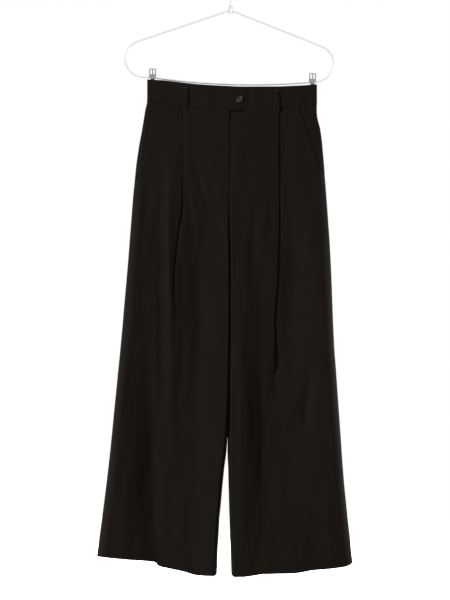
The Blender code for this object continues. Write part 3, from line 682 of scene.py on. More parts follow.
@dataclass
class GarmentForm:
    """The outline and surface that every cloth piece shares with the part's solids."""

    place: tuple[float, float, float] = (-0.0030, -0.0056, 0.0)
    cloth: float = 0.0012
    band_cloth: float = 0.0013
    loop_cloth: float = 0.0016
    hem_middle: float = -1.250
    back_hem_rise: float = 0.004
    crotch: float = -0.549
    crotch_curve_start: float = -0.395
    tab_end: float = 0.0374
    outline: Table = Table(
        "height right left middle leg_gap depth",
        (-1.2650, -0.2855, 0.2610, -0.0125, 0.0305, 0.0350),
        (-1.1680, -0.2721, 0.2500, -0.0119, 0.0233, 0.0335),
        (-1.1050, -0.2638, 0.2432, -0.0103, 0.0164, 0.0330),
        (-1.0420, -0.2561, 0.2374, -0.0081, 0.0090, 0.0325),
        (-0.9810, -0.2495, 0.2331, -0.0054, 0.0016, 0.0320),
        (-0.9170, -0.2432, 0.2286, -0.0028, 0.0015, 0.0314),
        (-0.8320, -0.2347, 0.2226, -0.0012, 0.0013, 0.0306),
        (-0.7690, -0.2285, 0.2182, -0.0002, 0.0012, 0.0300),
        (-0.6850, -0.2212, 0.2148, 0.0001, 0.0010, 0.0295),
        (-0.6010, -0.2138, 0.2113, -0.0001, 0.0008, 0.0290),
        (-0.5170, -0.2073, 0.2060, -0.0014, 0.0005, 0.0265),
        (-0.4330, -0.1999, 0.1997, -0.0020, 0.0003, 0.0225),
        (-0.3700, -0.1922, 0.1947, -0.0023, 0.0003, 0.0185),
        (-0.3280, -0.1847, 0.1898, -0.0023, 0.0003, 0.0150),
        (-0.2860, -0.1779, 0.1823, -0.0021, 0.0003, 0.0115),
        (-0.2630, -0.1741, 0.1825, -0.0021, 0.0003, 0.0105),
        (-0.2200, -0.1739, 0.1827, -0.0021, 0.0003, 0.0090),
    )
    waist: Table = Table(
        "x top back_top seam",
        (-0.1745, -0.2222, -0.2222, -0.2632),
        (-0.1386, -0.2246, -0.2236, -0.2703),
        (-0.1008, -0.2311, -0.2281, -0.2772),
        (-0.0420, -0.2367, -0.2334, -0.2825),
        (0.0000, -0.2386, -0.2355, -0.2863),
        (0.0305, -0.2394, -0.2366, -0.2871),
        (0.0870, -0.2386, -0.2364, -0.2850),
        (0.1344, -0.2358, -0.2350, -0.2791),
        (0.1825, -0.2325, -0.2325, -0.2758),
    )
    hems: dict[Side, Table] = field(
        default_factory=lambda: {
            Side.RIGHT: Table(
                "x height",
                (-0.2793, -1.2222),
                (-0.2100, -1.2292),
                (-0.1600, -1.2337),
                (-0.1555, -1.2352),
                (-0.1510, -1.2412),
                (-0.1300, -1.2467),
                (-0.1000, -1.2532),
                (-0.0560, -1.2624),
                (-0.0350, -1.2630),
                (-0.0275, -1.2592),
            ),
            Side.LEFT: Table(
                "x height",
                (0.0025, -1.2607),
                (0.0100, -1.2652),
                (0.0210, -1.2652),
                (0.0714, -1.2592),
                (0.1280, -1.2577),
                (0.1720, -1.2512),
                (0.2396, -1.2437),
                (0.2583, -1.2357),
            ),
        }
    )
    # In front: the pressed crests, deep troughs and drag lines, the wearer's right leg first
    front_creases: Creases = Creases(
        (-0.270, -0.1310, -0.640, -0.1270, -1.020, -0.1165, 0.0085, 0.0420, 1.40, 0.0046),
        (-0.300, -0.1305, -0.640, -0.1275, -1.010, -0.1180, 0.0040, 0.0090, 1.50, 0.0022),
        (-0.300, -0.1475, -0.700, -0.1450, -1.060, -0.1370, 0.0440, 0.0115, 1.60, -0.0060),
        (-0.420, -0.1590, -0.900, -0.1540, -1.260, -0.1510, 0.0040, 0.0050, 1.50, 0.0014),
        (-0.680, -0.1740, -1.040, -0.1620, -1.440, -0.1440, 0.0400, 0.0560, 1.45, -0.0235),
        (-0.900, -0.1420, -1.080, -0.1400, -1.260, -0.1400, 0.0080, 0.0110, 1.60, 0.0024),
        (-0.300, -0.0630, -0.780, -0.0650, -1.440, -0.0600, 0.0460, 0.0400, 1.50, -0.0128),
        (-0.780, -0.0640, -1.120, -0.0620, -1.500, -0.0600, 0.0800, 0.0300, 1.60, -0.0104),
        (-0.540, -0.0380, -1.180, -0.0570, -1.500, -0.0600, 0.0200, 0.0300, 1.80, 0.0060),
        (-0.560, -0.0880, -0.700, -0.0850, -0.960, -0.0930, 0.0060, 0.0090, 1.60, 0.0012),
        (-0.330, -0.0880, -0.440, -0.0640, -0.560, -0.0230, 0.0050, 0.0070, 1.50, -0.0016),
        (-0.350, -0.0960, -0.500, -0.0740, -0.660, -0.0520, 0.0060, 0.0080, 1.50, 0.0014),
        (-0.480, -0.0420, -0.520, -0.0300, -0.560, -0.0150, 0.0040, 0.0050, 1.60, -0.0010),
        (-0.380, -0.1680, -0.520, -0.1790, -0.720, -0.1880, 0.0100, 0.0080, 1.60, -0.0018),
        (-1.090, -0.0930, -1.170, -0.0890, -1.240, -0.0900, 0.0050, 0.0070, 1.60, -0.0010),
        (-0.780, -0.1030, -0.900, -0.1080, -1.020, -0.1150, 0.0140, 0.0240, 1.80, -0.0034),
        (-0.960, -0.2060, -1.100, -0.2180, -1.300, -0.2330, 0.0100, 0.0120, 1.60, 0.0016),
        (-0.530, 0.0200, -0.930, 0.0240, -1.400, 0.0270, 0.0120, 0.0140, 1.80, 0.0040),
        (-0.460, 0.0480, -0.960, 0.0675, -1.280, 0.0620, 0.0185, 0.0580, 1.40, -0.0114),
        (-0.800, 0.0380, -0.960, 0.0365, -1.110, 0.0400, 0.0080, 0.0060, 1.60, 0.0012),
        (-0.860, 0.0500, -0.970, 0.0520, -1.070, 0.0530, 0.0100, 0.0080, 1.60, -0.0010),
        (-0.430, 0.0546, -0.600, 0.0462, -0.810, 0.0441, 0.0060, 0.0120, 1.40, -0.0026),
        (-0.960, 0.0800, -1.110, 0.0800, -1.350, 0.0860, 0.0200, 0.0260, 1.60, -0.0024),
        (-0.540, 0.1180, -0.940, 0.1240, -1.260, 0.1230, 0.0600, 0.0420, 1.60, -0.0070),
        (-0.240, 0.1620, -0.760, 0.2050, -1.500, 0.2620, 0.0560, 0.0130, 1.70, 0.0080),
        (-0.765, 0.0966, -0.815, 0.1008, -0.856, 0.0840, 0.0040, 0.0060, 1.60, -0.0045),
        (-0.770, 0.0880, -0.820, 0.0910, -0.870, 0.0760, 0.0040, 0.0040, 1.50, 0.0014),
        (-0.800, 0.1680, -0.890, 0.1640, -0.965, 0.1500, 0.0110, 0.0060, 1.50, -0.0070),
        (-0.890, 0.1500, -0.932, 0.1600, -0.972, 0.1680, 0.0100, 0.0070, 1.50, -0.0050),
        (-0.936, 0.0960, -0.957, 0.1330, -0.978, 0.1700, 0.0200, 0.0240, 1.50, -0.0046),
        (-0.360, 0.1220, -0.680, 0.1325, -0.940, 0.1330, 0.0280, 0.0300, 1.60, -0.0092),
        (-0.890, 0.1270, -0.930, 0.1260, -0.972, 0.1240, 0.0060, 0.0040, 1.50, 0.0014),
        (-0.330, 0.0180, -0.400, 0.0420, -0.470, 0.0760, 0.0080, 0.0070, 1.60, -0.0009),
        (-0.400, 0.0120, -0.470, 0.0360, -0.580, 0.0620, 0.0070, 0.0060, 1.60, 0.0011),
        (-1.080, 0.1520, -1.120, 0.1680, -1.160, 0.1860, 0.0080, 0.0080, 1.60, -0.0010),
        (-1.020, 0.2000, -1.130, 0.2060, -1.260, 0.2120, 0.0110, 0.0110, 1.60, 0.0014),
        (-0.560, 0.1500, -0.640, 0.1640, -0.720, 0.1780, 0.0090, 0.0090, 1.60, -0.0009),
    )
    # Behind: similar ones in other places, in the wearer's right leg first
    back_creases: Creases = Creases(
        (-0.420, -0.1050, -0.800, -0.1150, -1.420, -0.1500, 0.0180, 0.0280, 1.60, 0.0080),
        (-0.560, -0.0550, -1.000, -0.0700, -1.400, -0.0850, 0.0150, 0.0220, 1.40, -0.0085),
        (-0.640, -0.1750, -1.080, -0.1950, -1.420, -0.2100, 0.0200, 0.0150, 1.40, -0.0075),
        (-0.330, -0.0800, -0.470, -0.0600, -0.600, -0.0250, 0.0070, 0.0060, 1.60, 0.0014),
        (-0.400, -0.1400, -0.560, -0.1350, -0.760, -0.1420, 0.0060, 0.0050, 1.50, -0.0020),
        (-0.560, -0.0850, -0.700, -0.0820, -0.880, -0.0880, 0.0040, 0.0050, 1.50, 0.0014),
        (-0.700, -0.1450, -0.900, -0.1520, -1.120, -0.1650, 0.0060, 0.0100, 1.40, 0.0022),
        (-0.860, -0.1050, -1.020, -0.1100, -1.200, -0.1250, 0.0080, 0.0060, 1.40, -0.0020),
        (-1.020, -0.0380, -1.120, -0.0400, -1.230, -0.0450, 0.0060, 0.0070, 1.60, 0.0014),
        (-1.060, -0.2300, -1.150, -0.2360, -1.250, -0.2450, 0.0080, 0.0080, 1.60, -0.0014),
        (-0.430, 0.1100, -0.850, 0.1150, -1.420, 0.1350, 0.0290, 0.0200, 1.60, 0.0080),
        (-0.560, 0.0500, -0.930, 0.0620, -1.300, 0.0700, 0.0140, 0.0200, 1.40, -0.0090),
        (-0.700, 0.1650, -1.100, 0.1800, -1.450, 0.1950, 0.0160, 0.0210, 1.40, -0.0075),
        (-0.330, 0.0700, -0.460, 0.0560, -0.600, 0.0200, 0.0060, 0.0070, 1.60, 0.0013),
        (-0.410, 0.1480, -0.580, 0.1400, -0.770, 0.1460, 0.0050, 0.0060, 1.50, -0.0020),
        (-0.580, 0.0880, -0.740, 0.0900, -0.900, 0.0860, 0.0050, 0.0040, 1.50, 0.0014),
        (-0.720, 0.1450, -0.930, 0.1500, -1.150, 0.1620, 0.0090, 0.0060, 1.40, 0.0020),
        (-0.840, 0.0960, -1.000, 0.1030, -1.190, 0.1100, 0.0060, 0.0080, 1.40, -0.0020),
        (-1.040, 0.0300, -1.130, 0.0360, -1.230, 0.0420, 0.0060, 0.0070, 1.60, 0.0014),
        (-1.050, 0.2080, -1.150, 0.2150, -1.250, 0.2220, 0.0080, 0.0080, 1.60, -0.0014),
    )
    # How much fuller each leg's front hangs between its creases than the plain section
    fullness: Table = Table(
        "height right left",
        (-1.2650, 0.0070, 0.0010),
        (-1.0400, 0.0085, 0.0050),
        (-0.8800, 0.0065, 0.0055),
        (-0.7200, 0.0030, 0.0035),
        (-0.5600, 0.0000, 0.0000),
        (-0.2200, 0.0000, 0.0000),
    )
    # Faint waves all over, whose crests lean a little: their lengths across and along, and their size
    waves: Table = Table(
        "phase across along size",
        (0.3, 0.061, 0.420, 0.00034),
        (1.9, 0.043, -0.310, 0.00026),
        (2.8, 0.034, 0.190, 0.00018),
        (4.1, 0.083, -0.240, 0.00030),
        (5.2, 0.026, 0.140, 0.00012),
        (5.9, 0.019, -0.105, 0.00008),
    )

    @property
    def seam_middle(self) -> float:
        """Height of the waist seam in the middle."""
        return float(self.waist.at("seam", 0.0, "x"))

    def side_x(self, side: Side, height: Array) -> Array:
        """The outline at one side."""
        return self.outline.at(side.word, height)

    def inner_x(self, side: Side, height: Array) -> Array:
        """The panel's edge at the middle: the rise seam above the crotch, the inseam below it."""
        half_gap = 0.5 * self.outline.at("leg_gap", height) * ease((-0.955 - height) / 0.05)
        return self.outline.at("middle", height) + side.value * (half_gap - 0.0002)

    def side_round(self, height: Array) -> Array:
        """Width over which the cloth turns round the garment's side."""
        return 0.0045 + 0.0135 * ease((-0.270 - height) / 0.250)

    def inner_round(self, height: Array) -> Array:
        """Width over which the cloth turns in at the inseam."""
        return 0.0036 + 0.0040 * ease((-0.800 - height) / 0.200)

    def fine_waves(self, x: Array, height: Array) -> Array:
        """Sum of the faint waves, each a sine of the place across and along over its lengths."""
        total = np.zeros(np.broadcast(x, height).shape)
        for wave in self.waves.each():
            turns = x / wave["across"] + height / wave["along"]
            total = total + wave["size"] * np.sin(2 * np.pi * turns + wave["phase"])
        return total

    def stand_off(self, side: Side, x: Array, height: Array, face: Face | None = None) -> Array:
        """How far the cloth's outer face stands from the garment's mid-plane.

        The depth of the section, flattened over the middle of the hips, plus the front's fullness, the
        creases and the waves, is rounded at the side and, from the crotch curve down, at the inseam.

        Args:
            side: Which leg.
            x: Place across.
            height: Height of each point.
            face: The face whose creases are added, or None for the plain section.

        Returns:
            The distance from the mid-plane.
        """
        from_middle = np.clip(np.abs(x / self.side_x(side, height)), 0, 1)
        flattening = 0.35 * ease((height - self.crotch) / 0.200)
        lens = 1 - flattening * (1 - np.cos(np.pi * from_middle)) / 2
        run = self.crotch_curve_start - self.crotch
        part = np.clip((self.crotch_curve_start - height) / run, 0, 1)
        tuck = 1 - np.sqrt(1 - part**2.4)
        from_side = np.abs(x - self.side_x(side, height))
        from_inner = np.abs(x - self.inner_x(side, height))
        inner = 1 - tuck + tuck * quarter_round(from_inner / self.inner_round(height))
        depth = self.outline.at("depth", height) * lens
        if face is Face.FRONT:
            depth = depth + self.fullness.at(side.word, height) + self.front_creases.relief(x, height)
        if face is Face.BACK:
            depth = depth + self.back_creases.relief(x, height)
        if face is not None:
            depth = depth + self.fine_waves(x, height * face.value) * ease((-0.28 - height) / 0.12)
        return depth * quarter_round(from_side / self.side_round(height)) * inner

    def plain_off(self, x: Array | float, height: Array | float) -> Array:
        """How far the plain cloth stands from the mid-plane, on whichever leg a place is."""
        right = self.stand_off(Side.RIGHT, np.clip(x, self.side_x(Side.RIGHT, height), 0), height)
        left = self.stand_off(Side.LEFT, np.clip(x, 0, self.side_x(Side.LEFT, height)), height)
        return np.where(np.asarray(x) < 0, right, left)

    def in_place(self, points: Array) -> Array:
        """Points of the garment's frame in the part's frame."""
        return points + np.array(self.place)


# ------------------------------------------------------------------------------------------ pleats


# The pleats: the lap closes downwards, then the curl of the fold opens, and the step that is left fades
# out. The crevice is the hollow just outside the folded edge.
PLEAT_COLUMNS = "height x lap curl step crevice"
PLEAT_ROWS = {
    Side.RIGHT: Table(
        PLEAT_COLUMNS,
        (-1.2650, -0.1090, 0.0000, 0.0, 0.0, 0.0000),
        (-0.9000, -0.1080, 0.0000, 0.0, 0.0, 0.0000),
        (-0.8700, -0.0980, 0.0000, 0.0, 0.5, 0.0012),
        (-0.8250, -0.0960, 0.0000, 0.0, 0.7, 0.0024),
        (-0.7850, -0.0958, 0.0000, 0.2, 0.7, 0.0026),
        (-0.7480, -0.0995, 0.0000, 0.6, 0.7, 0.0020),
        (-0.7000, -0.1095, 0.0000, 1.0, 0.8, 0.0038),
        (-0.6600, -0.1120, 0.0000, 1.0, 0.9, 0.0054),
        (-0.6000, -0.1082, 0.0010, 1.0, 1.0, 0.0066),
        (-0.5400, -0.1015, 0.0060, 1.0, 1.0, 0.0070),
        (-0.4750, -0.0935, 0.0100, 1.0, 0.8, 0.0052),
        (-0.3800, -0.0935, 0.0130, 1.0, 0.62, 0.0022),
        (-0.2700, -0.0945, 0.0150, 1.0, 0.62, 0.0012),
    ),
    Side.LEFT: Table(
        PLEAT_COLUMNS,
        (-1.2650, 0.0880, 0.0000, 0.0, 0.0, 0.0000),
        (-0.9200, 0.0880, 0.0000, 0.0, 0.0, 0.0000),
        (-0.8500, 0.0880, 0.0000, 0.0, 1.0, 0.0010),
        (-0.7900, 0.0938, 0.0000, 0.7, 1.0, 0.0034),
        (-0.7300, 0.0918, 0.0010, 1.0, 1.0, 0.0036),
        (-0.6500, 0.0975, 0.0040, 1.0, 0.9, 0.0020),
        (-0.4750, 0.1008, 0.0110, 1.0, 0.8, 0.0018),
        (-0.2700, 0.1008, 0.0150, 1.0, 0.70, 0.0000),
    ),
}


@dataclass
class Pleat:
    """One sewn-in knife pleat: its folded edge points to the side, and it opens on its way down."""

    side: Side
    rows: Table
    turn: float = 0.0027
    tuck: float = 0.0006
    step_reach: float = 0.030
    crevice_reach: float = 0.0026

    def __post_init__(self) -> None:
        """Work out the points that go round the fold, from the side on.

        The under layer runs in below the fold, turns back over a half circle as wide as the tuck, comes
        out again and turns over the edge on a half circle as wide as the turn.
        """
        inner = np.radians(np.linspace(-90, 90, 7))
        outer = np.radians(np.linspace(-90, 90, 11))
        under = np.array((0.0, 0.1, 0.2, 0.35, 0.5, 0.7, 0.9))
        run_in = -0.004 * (1 - ease(under / 0.2))
        over = np.array((0.0020, 0.0040, 0.0060))
        inner_half = self.tuck / 2
        outer_half = self.turn / 2
        self.towards = np.concatenate(
            (run_in, np.cos(inner) * inner_half, np.zeros(3), -np.cos(outer) * outer_half, over)
        )
        self.lap_share = np.concatenate(
            (under, np.ones(7), (0.75, 0.5, 0.25), np.zeros(11), (0.12, 0.30, 0.50))
        )
        self.inwards = np.concatenate(
            (
                np.full(7, self.turn + self.tuck),
                self.turn + inner_half - np.sin(inner) * inner_half,
                np.full(3, self.turn),
                outer_half - np.sin(outer) * outer_half,
                np.zeros(3),
            )
        )
        open_part = np.linspace(0, 1, len(self.towards))
        self.open_towards = -0.008 + 0.020 * open_part
        self.open_inwards = (self.turn + self.tuck) * (1 - ease(open_part))

    def edge(self, height: Array) -> Array:
        """Where the folded edge is."""
        return self.rows.at("x", height)

    def offset(self, height: Array, point: Array | int) -> Array:
        """How far towards the middle of its edge a point of the pleat is."""
        lap = self.rows.at("lap", height)
        curl = self.rows.at("curl", height)
        folded = self.towards[point] + self.lap_share[point] * lap
        return curl * folded + (1 - curl) * self.open_towards[point]

    def below(self, height: Array, point: Array | int) -> Array:
        """How far below the plain surface a point of the pleat is."""
        curl = self.rows.at("curl", height)
        folded = curl * self.inwards[point] + (1 - curl) * self.open_inwards[point]
        return self.rows.at("step", height) * folded

    def beyond(self, x: Array, height: Array) -> Array:
        """How far below the plain surface the cloth outside the edge is: the step and a hollow beside it."""
        away = np.clip(self.side.value * (x - self.edge(height)), 0, None)
        step = self.below(height, 0) * bell(away, self.step_reach)
        hollow = away / self.crevice_reach
        return step + self.rows.at("crevice", height) * hollow * np.exp((1 - hollow**2) / 2)


# ------------------------------------------------------------------------------------------ panels


@dataclass
class Panels:
    """The four leg panels and the two pocket facings."""

    form: GarmentForm
    finishes: Finishes
    pocket_end: float = -0.444
    pocket_corner: float = 0.004
    pocket_lift: float = 0.0005
    pocket_lift_run: float = 0.009
    facing_drop: float = 0.0015
    facing_underlap: float = 0.012
    facing_seam: float = 0.0042
    facing_groove_share: float = 0.7
    facing_draw_share: float = 0.9
    fly_step: float = 0.0015
    fly_step_start: float = 0.004
    fly_step_width: float = 0.022
    fly_end: float = -0.460
    fly_fade: float = 0.03
    under_tab: float = 0.0016
    under_tab_lap: float = 0.004
    under_tab_run: float = 0.008
    under_tab_end: float = -0.315
    under_tab_fade: float = 0.028
    tab_gap: float = 0.0065
    tab_gap_end: float = 0.0300
    tab_gap_fade: float = 0.004
    tab_gap_reach: float = 0.0027
    pleat_fade: float = 0.6
    edge_roll: float = 0.0009
    edge_roll_run: float = 0.0022
    hem_roll_share: float = 0.6
    hem_turn: float = 0.036
    hem_press: float = 0.00018
    hem_press_width: float = 0.0022
    turned_up_rise: float = 0.00025
    turned_up_run: float = 0.003
    seam_swell: float = 0.0003
    seam_swell_away: float = 0.006
    seam_swell_width: float = 0.004
    relief_fade: float = 0.004
    groove_depth: float = 0.0008
    groove_width: float = 0.0011
    groove_swell: float = 0.00035
    groove_swell_away: float = 0.0055
    groove_swell_width: float = 0.0035
    groove_start: float = -0.27
    groove_fade: float = 0.01
    cut_roll: float = 0.0006
    cut_roll_run: float = 0.0012
    seam_half_gap: float = 0.0002
    round_columns: int = 9
    pockets: dict[Side, Table] = field(
        default_factory=lambda: {
            Side.RIGHT: Table("height x", (-0.4470, -0.1997), (-0.2701, -0.1371)),
            Side.LEFT: Table("height x", (-0.4530, 0.2016), (-0.2783, 0.1430)),
        }
    )
    pleats: dict[Side, Pleat] = field(
        default_factory=lambda: {side: Pleat(side, rows) for side, rows in PLEAT_ROWS.items()}
    )

    def row_parts(self) -> Array:
        """Where the rows lie from the waist seam, 0, to the hem, 1: closer at both ends and at the crotch."""
        top = self.form.seam_middle
        end = self.form.hem_middle
        heights = steps_between(
            top,
            top - 0.0004,
            top - 0.0010,
            top - 0.0022,
            self.pocket_end,
            self.pocket_end - self.pocket_corner,
            self.form.crotch,
            end + 0.0022,
            end + 0.0009,
            end + 0.0003,
            end,
            counts=(1, 1, 1, 54, 3, 34, 214, 1, 1, 1),
        )
        return (heights - top) / (end - top)

    def pocket_taper(self) -> Array:
        """1 for a row in the pocket, falling to 0 where the front's edge has run out to the side seam."""
        top = self.form.seam_middle
        heights = top + self.row_parts()[::-1] * (self.form.hem_middle - top)
        return np.clip((heights - self.pocket_end + self.pocket_corner) / self.pocket_corner, 0, 1)

    def hung_between(
        self, side: Side, across: Callable[[Array, bool], Array], columns: int, rise: float = 0.0
    ) -> Array:
        """Heights of a panel's grid, rows from hem to waist seam, whose ends follow their own curves.

        Args:
            side: Which leg.
            across: Places across of the columns at some heights, given whether they are at the top.
            columns: The number of columns.
            rise: How much higher the hem is than the front's.

        Returns:
            A height for each row and column.
        """
        top = np.full((1, columns), self.form.seam_middle)
        hem = np.full((1, columns), self.form.hem_middle)
        for _ in range(5):
            top = self.form.waist.at("seam", across(top, True), "x")
            hem = self.form.hems[side].at("height", across(hem, False), "x") + rise
        return top + (hem - top) * self.row_parts()[::-1, None]

    def finish_edges(self, depth: Array, height: Array) -> Array:
        """Roll the top and the hem in, and press the hem's turn-up into the cloth.

        Args:
            depth: Distance from the mid-plane, rows from hem to waist.
            height: Height of each point.

        Returns:
            The distance with the edges' relief.
        """
        from_top = height[-1:] - height
        from_hem = height - height[:1]
        hem_roll = self.hem_roll_share * rolled(from_hem, self.edge_roll_run)
        roll = self.edge_roll * (rolled(from_top, self.edge_roll_run) + hem_roll)
        press = self.hem_press * bell(from_hem - self.hem_turn, self.hem_press_width)
        turned_up = self.turned_up_rise * ease((self.hem_turn - from_hem) / self.turned_up_run)
        swell = self.seam_swell * bell(from_top - self.seam_swell_away, self.seam_swell_width)
        return depth + (turned_up + swell - roll - press) * np.clip(depth / self.relief_fade, 0, 1)

    def side_groove(self, away: Array, height: Array) -> Array:
        """A shallow groove where a seam runs, with the allowances' slight swell beside it."""
        groove = self.groove_depth * bell(away, self.groove_width)
        swell = self.groove_swell * bell(away - self.groove_swell_away, self.groove_swell_width)
        return (swell - groove) * ease((self.groove_start - height) / self.groove_fade)

    def fly_relief(self, side: Side, x: Array, height: Array) -> Array:
        """How far in the left front lies beside the fly, so that the right front's edge shows."""
        if side is Side.RIGHT:
            return np.zeros_like(x)
        from_fly = np.abs(x - self.form.inner_x(side, height)) - self.fly_step_start
        beside = 1 - ease(from_fly / self.fly_step_width)
        step = self.fly_step * beside * ease((height - self.fly_end) / self.fly_fade)
        under = 1 - ease((x - self.form.tab_end + self.under_tab_lap) / self.under_tab_run)
        near_top = ease((height - self.under_tab_end) / self.under_tab_fade)
        in_gap = 1 - ease((x - self.tab_gap_end) / self.tab_gap_fade)
        gap = self.tab_gap * in_gap * bell(height[-1:] - height, self.tab_gap_reach, 4)
        return step + self.under_tab * under * near_top + gap

    def front_points(self, side: Side) -> Array:
        """Outer face of a front: columns from the pocket edge or side seam, round the pleat, to the middle.

        Args:
            side: Which leg.

        Returns:
            Rows from hem to waist seam, in the garment's frame.
        """
        form = self.form
        pleat = self.pleats[side]
        pocket = self.pockets[side]
        round_side = turned(self.round_columns)
        flat_side = (1 - (1 - np.linspace(0, 1, 36)) ** 1.35)[1:-1]
        flat_middle = np.linspace(0, 1, 30)[1:-1]
        round_middle = round_side[::-1]
        around_pleat = np.arange(len(pleat.towards))
        before = len(round_side) + len(flat_side)
        after = before + len(around_pleat)
        columns = after + len(flat_middle) + len(round_middle)
        taper_rows = self.pocket_taper()[:, None]

        def across(height: Array, at_top: bool | Array) -> Array:
            """Place of each column: round the side, flat to the pleat, round it, flat, round the inseam."""
            taper = np.where(at_top, 1.0, 0.0) if isinstance(at_top, bool) else at_top
            outer = form.side_x(side, height)
            cut = np.abs(outer - pocket.at("x", height)) * taper
            edge = np.abs(outer - pleat.edge(height))
            width = np.abs(outer - form.inner_x(side, height))
            start = edge + pleat.offset(height, 0)
            end = edge + pleat.offset(height, -1)
            side_width = form.side_round(height)
            inner_width = form.inner_round(height)
            distance = np.empty_like(height)
            rounded = side_width[:, : len(round_side)] * round_side
            flat = side_width[:, len(round_side) : before]
            flat = flat + (start[:, len(round_side) : before] - flat) * flat_side
            plain = np.concatenate((rounded, flat), axis=1)
            part = plain / start[:, :before]
            distance[:, :before] = cut[:, :before] + (start - cut)[:, :before] * part
            folded = height[:, before:after]
            distance[:, before:after] = edge[:, before:after] + pleat.offset(folded, around_pleat)
            last = after + len(flat_middle)
            flat_end = width - inner_width
            distance[:, after:last] = end[:, after:last] + (flat_end - end)[:, after:last] * flat_middle
            distance[:, last:] = width[:, last:] - inner_width[:, last:] * round_middle
            return outer - side.value * distance

        height = self.hung_between(side, across, columns)
        x = across(height, taper_rows + np.zeros_like(height))
        inwards = self.fly_relief(side, x, height)
        inwards[:, :before] += pleat.beyond(x, height)[:, :before]
        inwards[:, before:after] += pleat.below(height[:, before:after], around_pleat)
        depth = form.stand_off(side, x, height, Face.FRONT)
        flat = np.clip(depth / (self.pleat_fade * form.outline.at("depth", height)), 0, 1)
        depth = depth - inwards * flat
        from_cut = np.abs(x - x[:, :1])
        lifted = taper_rows * bell(from_cut, self.pocket_lift_run)
        depth = depth + (self.pocket_lift - self.cut_roll * rolled(from_cut, self.cut_roll_run)) * lifted
        from_middle = np.abs(x - form.inner_x(side, height))
        rise_seam = ease((self.fly_end - height) / self.groove_fade)
        depth = depth + self.side_groove(from_middle, height) * rise_seam
        from_side = np.abs(x - form.side_x(side, height))
        depth = depth + self.side_groove(from_side - self.seam_half_gap, height) * (1 - taper_rows)
        depth = self.finish_edges(depth, height)
        closed = np.maximum(depth, 0.0)
        closed[:, 0] = np.where(taper_rows[:, 0] > 0, closed[:, 0], 0.0)
        return np.stack((x, -closed, height), axis=-1)

    def back_points(self, side: Side) -> Array:
        """Outer face of a back: columns round the side, evenly across, and round the inseam.

        Args:
            side: Which leg.

        Returns:
            Rows from hem to waist seam, in the garment's frame.
        """
        form = self.form
        round_side = turned(self.round_columns)
        flat = np.linspace(0, 1, 52)[1:-1]
        first = len(round_side)
        last = first + len(flat)

        def across(height: Array, _: bool) -> Array:
            """Place of each column."""
            outer = form.side_x(side, height)
            width = np.abs(outer - form.inner_x(side, height))
            start = form.side_round(height)
            end = width - form.inner_round(height)
            distance = np.empty_like(height)
            distance[:, :first] = start[:, :first] * round_side
            distance[:, first:last] = start[:, first:last] + (end - start)[:, first:last] * flat
            distance[:, last:] = width[:, last:] - (width - end)[:, last:] * round_side[::-1]
            return outer - side.value * distance

        height = self.hung_between(side, across, last + first, form.back_hem_rise)
        x = across(height, True)
        depth = form.stand_off(side, x, height, Face.BACK)
        depth = depth + self.side_groove(np.abs(x - form.inner_x(side, height)), height)
        depth = depth + self.side_groove(np.abs(x - form.side_x(side, height)) - self.seam_half_gap, height)
        closed = np.maximum(self.finish_edges(depth, height), 0.0)
        closed[:, 0] = 0.0
        return np.stack((x, closed, height), axis=-1)

    def facing_points(self, side: Side, front: Array) -> Array:
        """Outer face of a pocket facing, from the side seam to just under the cut edge of the front.

        Args:
            side: Which leg.
            front: The front's points, which give the pocket's lower end.

        Returns:
            Rows from the pocket's end to the waist seam, in the garment's frame.
        """
        form = self.form
        pleat = self.pleats[side]
        in_pocket = np.nonzero(self.pocket_taper() >= 1)[0][0]
        bottom = front[in_pocket, 0, 2] + 0.0006
        part = np.concatenate((turned(8) * 0.12, np.linspace(0.14, 1, 26)))

        def across(height: Array) -> Array:
            """Place of each column."""
            width = np.abs(form.side_x(side, height) - self.pockets[side].at("x", height))
            return form.side_x(side, height) - side.value * (width + self.facing_underlap) * part

        top = np.full((1, len(part)), form.seam_middle)
        for _ in range(5):
            top = form.waist.at("seam", across(top), "x")
        height = bottom + (top - bottom) * np.linspace(0, 1, 56)[:, None]
        over = across(height)
        depth = form.stand_off(side, over, height, Face.FRONT) - pleat.beyond(over, height)
        from_side = np.abs(over - form.side_x(side, height))
        depth = depth - self.facing_drop * quarter_round(from_side / form.side_round(height))
        depth = depth + self.side_groove(from_side - self.facing_seam, height) * self.facing_groove_share
        depth = depth - self.edge_roll * rolled(height[-1:] - height, self.edge_roll_run)
        depth = np.maximum(depth, 0.0)
        depth[:, 0] = 0.0
        drawn = side.value * self.facing_drop * part * self.facing_draw_share
        return np.stack((over - drawn, -depth, height), axis=-1)

    def build(self) -> dict[str, Array]:
        """Make the panels and facings.

        Returns:
            The panels' and facings' points by name, in the part's frame, for the stitches.
        """
        made = {}
        for side in Side:
            front = self.front_points(side)
            back = self.back_points(side)
            facing = self.facing_points(side, front)
            pieces = (
                (f"front_{side.word}", front, Face.FRONT, 33),
                (f"back_{side.word}", back, Face.BACK, 34),
                (f"pocket_facing_{side.word}", facing, Face.FRONT, 0),
            )
            for node, points, face, reference in pieces:
                placed = self.form.in_place(points)
                made[node] = placed
                item = cloth_object(f"{node}_cloth", placed, face, self.form.cloth, reference)
                dress(item, self.finishes.suiting, node)
        return made


# ------------------------------------------------------------------------------------- the hanger


